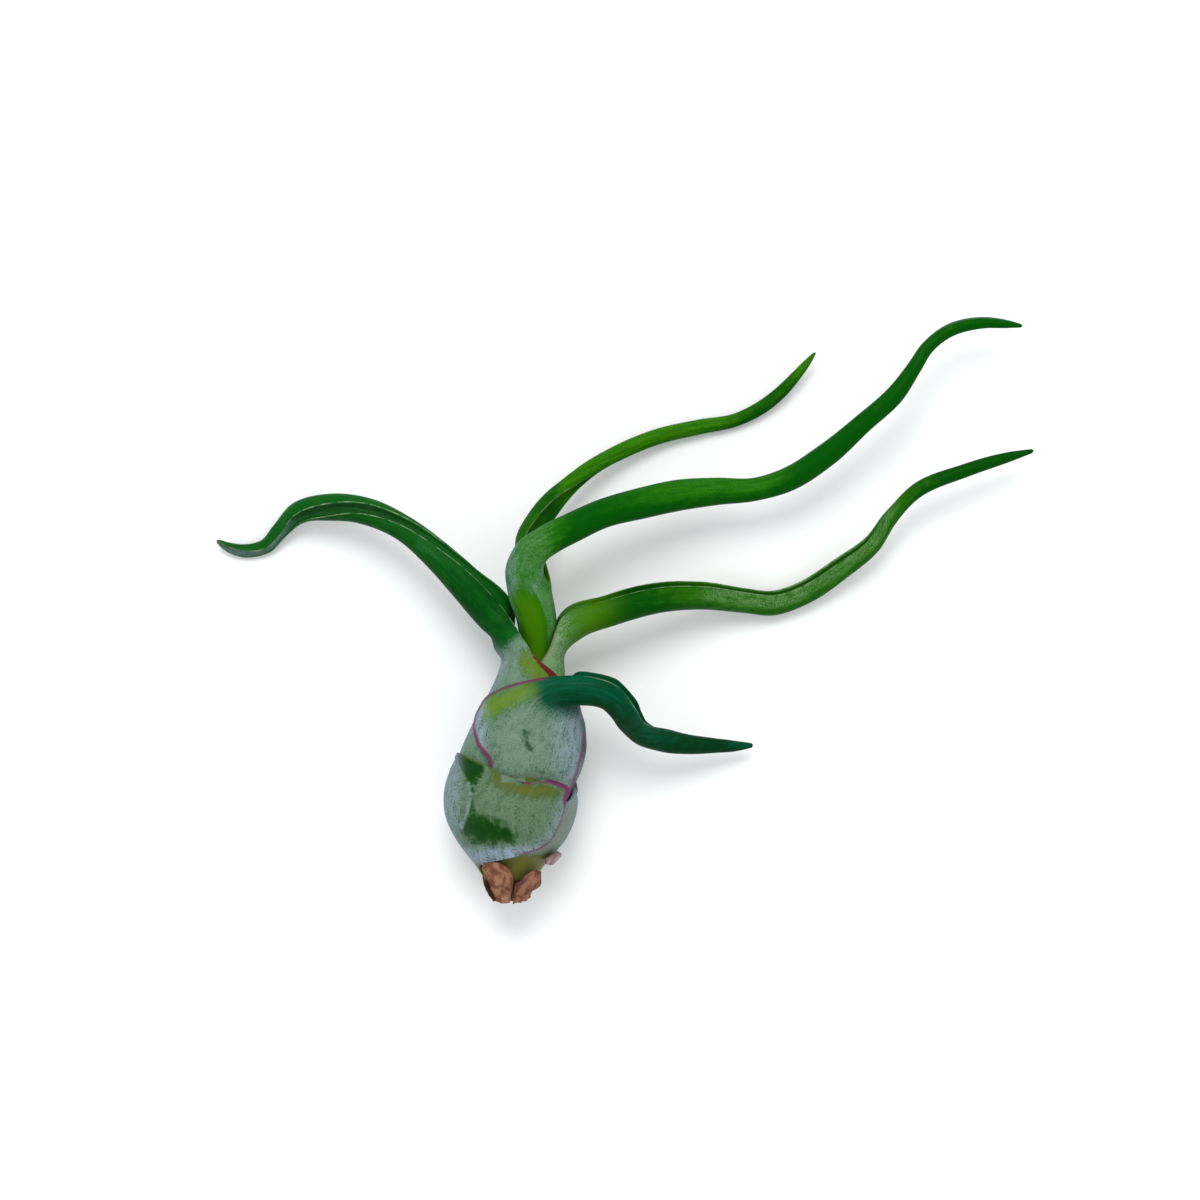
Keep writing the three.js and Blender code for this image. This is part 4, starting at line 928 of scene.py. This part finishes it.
rear = grow(through([
    (-6.4, 1.8, 0, 0), (-4, 2.6, 0.1, 0), (0, 3.6, 0.3, 0.1), (4, 4.0, 0.4, 0.2),
    (8, 3.9, 0.4, 0.2), (12, 3.2, 0.5, 0.1), (16, 2.1, 0.6, 0), (20, 1.4, 0.8, -0.2),
    (24, 1.25, 0.8, -0.3), (28, 1.6, 0.9, -0.4),
]), [
    [(155, -6.4, 0), (280, -6.4, 0), (405, -6.4, 0)],
    [(152, 0, 0), (280, 0, 0), (408, 0, 0)],
    [(152, 7, 0), (280, 7, 0), (408, 7, 0)],
    [(154, 14, 0), (280, 14, 0), (406, 14, 0)],
    [(156, 20, 0), (278, 20, 0), (400, 20, 0)],
    [(152, 26, 0), (272, 26, 0), (392, 26, 0)],
], [
    (4.3, 31.0, 10.1, 2.2, -2, 120), (3.9, 34.4, 9.8, 2.4, -12, 120),
    (3.0, 38.2, 9.5, 2.35, -24, 122), (2.85, 41.4, 9.2, 2.3, -34, 124),
    (4.5, 45.0, 8.3, 2.05, -42, 126), (6.6, 47.8, 7.4, 1.85, -48, 130),
    (9.0, 50.2, 6.4, 1.52, -58, 142), (12.0, 52.7, 5.1, 1.36, -78, 156),
    (16.3, 55.3, 3.6, 1.3, -96, 160), (23.7, 58.4, 2.0, 1.28, -102, 160),
    (30.2, 59.9, 1.27, 1.22, -104, 160), (36.2, 61.1, 1.12, 1.08, -104, 160),
    (39.9, 62.9, 1.3, 1.1, -104, 160), (42.7, 65.0, 1.8, 1.04, -104, 160),
    (45.6, 68.0, 2.6, 0.84, -104, 160), (47.6, 70.4, 3.2, 0.55, -104, 160),
    (48.8, 71.9, 3.6, 0.2, -104, 160),
], wall=0.6, step=0.4, fill=(1.5, 1.05), hollow=0.1)
x, y = rear.x, rear.y
finish_leaf(
    "leaf_rear_fine", "leaf_rear", rear,
    leaf_material("leaf_rear", colour(48, 112, 0), colour(0, 68, 0),
                  scurf=colour(96, 138, 84), yellow=colour(60, 112, 0), sheen=0.15),
    "green_leaf",
    silver=(0.08 + 0.18 * soft(x, 44.5, 47.5)) * rear.outer,
    yellow=0.35 * soft(rear.run, 60, 40),
    # painted shade: the blade is darker on its side turned from the light
    dark=0.7 * soft(x, 9.5, 6.0) * soft(y, 38, 43) + 0.6 * soft(x, 31, 38) * soft(x, 47, 44)
    + 0.45 * soft(-rear.sunny, 0.1, 0.9),
    lip=0.6 * soft(x, 14, 9))


# Youngest leaf. Still a closed spear in the heart of the plant. Only its dark tip shows, between
# the left leaf and the centre leaf, painted darker still towards the tip as painted shade of
# the leaves that lie over it.

# the middle line of the spear with its radius: x, y, z, radius, in millimetres
spear_path = np.array([
    (0.2, -4.0, 11.2, 0.35), (0.9, 0, 11.4, 0.6), (2.2, 6, 11.5, 1.0), (3.2, 12, 11.6, 0.95),
    (3.6, 17, 11.8, 0.6), (3.6, 21, 11.9, 0.5), (3.2, 25, 12.1, 0.5), (2.45, 28.5, 12.0, 0.5),
    (1.5, 31.2, 11.4, 0.5), (0.4, 33.4, 10.9, 0.45), (-0.9, 35.0, 10.8, 0.12)])
spear_sides, spear_rows = 40, 120
spear_at = np.linspace(0, len(spear_path) - 1, spear_rows)
spear_curve = through([(i, *p) for i, p in enumerate(spear_path)])(spear_at)
heading = np.gradient(spear_curve[:, :3], axis=0)
heading /= np.linalg.norm(heading, axis=1, keepdims=True)
sideways = np.cross((0, 0, 1), heading)
sideways /= np.linalg.norm(sideways, axis=1, keepdims=True)
upwards = np.cross(heading, sideways)
angle = np.arange(spear_sides) * 2 * np.pi / spear_sides
slack = 0.97  # leaves the leaves round it a little room
spear_points = spear_curve[:, None, :3] + spear_curve[:, None, 3:] * slack * (
    np.cos(angle)[None, :, None] * sideways[:, None]
    + np.sin(angle)[None, :, None] * upwards[:, None])
spear_points = spear_points.reshape(-1, 3)
youngest = SimpleNamespace(points=spear_points, faces=tube_faces(spear_rows, spear_sides),
                           x=spear_points[:, 0], edge=1.0)
youngest.place = np.stack([np.tile(angle, spear_rows), spear_points[:, 1], 0 * youngest.x], -1)
finish_leaf(
    "leaf_youngest_fine", "leaf_youngest", youngest,
    leaf_material("leaf_youngest", colour(16, 70, 34), colour(0, 44, 28)),
    # darker towards the tip: painted shade of the leaves over it
    "green_leaf", silver=0.1, dark=0.5 * soft(spear_points[:, 1], 29, 34))


# Surface, light and camera. A plain white sheet under the plant, a broad soft light from beyond the
# blades, pale light from all round, and a camera with a long lens straight above.

floor_reach, floor_level = 900, -0.02
floor = skin_mesh("floor", np.array([
    (side * floor_reach, end * floor_reach, floor_level)
    for side, end in ((-1, -1), (1, -1), (1, 1), (-1, 1))]), [(0, 1, 2, 3)], {})
paper = bpy.data.materials.new("white_paper")
paper.use_nodes = True
paper_shader = paper.node_tree.nodes["Principled BSDF"]
paper_shader.inputs["Base Color"].default_value = (0.9, 0.9, 0.9, 1)
paper_shader.inputs["Roughness"].default_value = 0.95
floor.data.materials.append(paper)

world = bpy.data.worlds.new("soft_room")
world.use_nodes = True
room_light = world.node_tree.nodes["Background"]
room_light.inputs["Color"].default_value = (0.96, 0.98, 1.0, 1)
room_light.inputs["Strength"].default_value = 1.0
bpy.context.scene.world = world

lamp = bpy.data.objects.new("window_light", bpy.data.lights.new("window_light", "SUN"))
lamp.data.energy = 1.45
lamp.data.angle = math.radians(26)
lamp.data.color = (1.0, 0.99, 0.97)
from_the_tips = Vector((-0.12, 1.0, 1.75))
lamp.rotation_mode = "QUATERNION"
lamp.rotation_quaternion = from_the_tips.to_track_quat("Z", "Y")
bpy.context.scene.collection.objects.link(lamp)
bpy.context.scene.view_settings.view_transform = "Standard"

camera = bpy.data.objects.new("camera", bpy.data.cameras.new("camera"))
aim_x, aim_y, aim_height = 14.1 * MM, 32.0 * MM, 0.010
camera_height, frame_width, sensor_width = 1.21, 0.192, 36.0
camera.location = (aim_x, aim_y, camera_height)
camera.data.sensor_width = sensor_width
camera.data.lens = sensor_width * (camera_height - aim_height) / frame_width
camera.data.clip_start, camera.data.clip_end = 0.05, 10.0
bpy.context.scene.collection.objects.link(camera)
bpy.context.scene.camera = camera
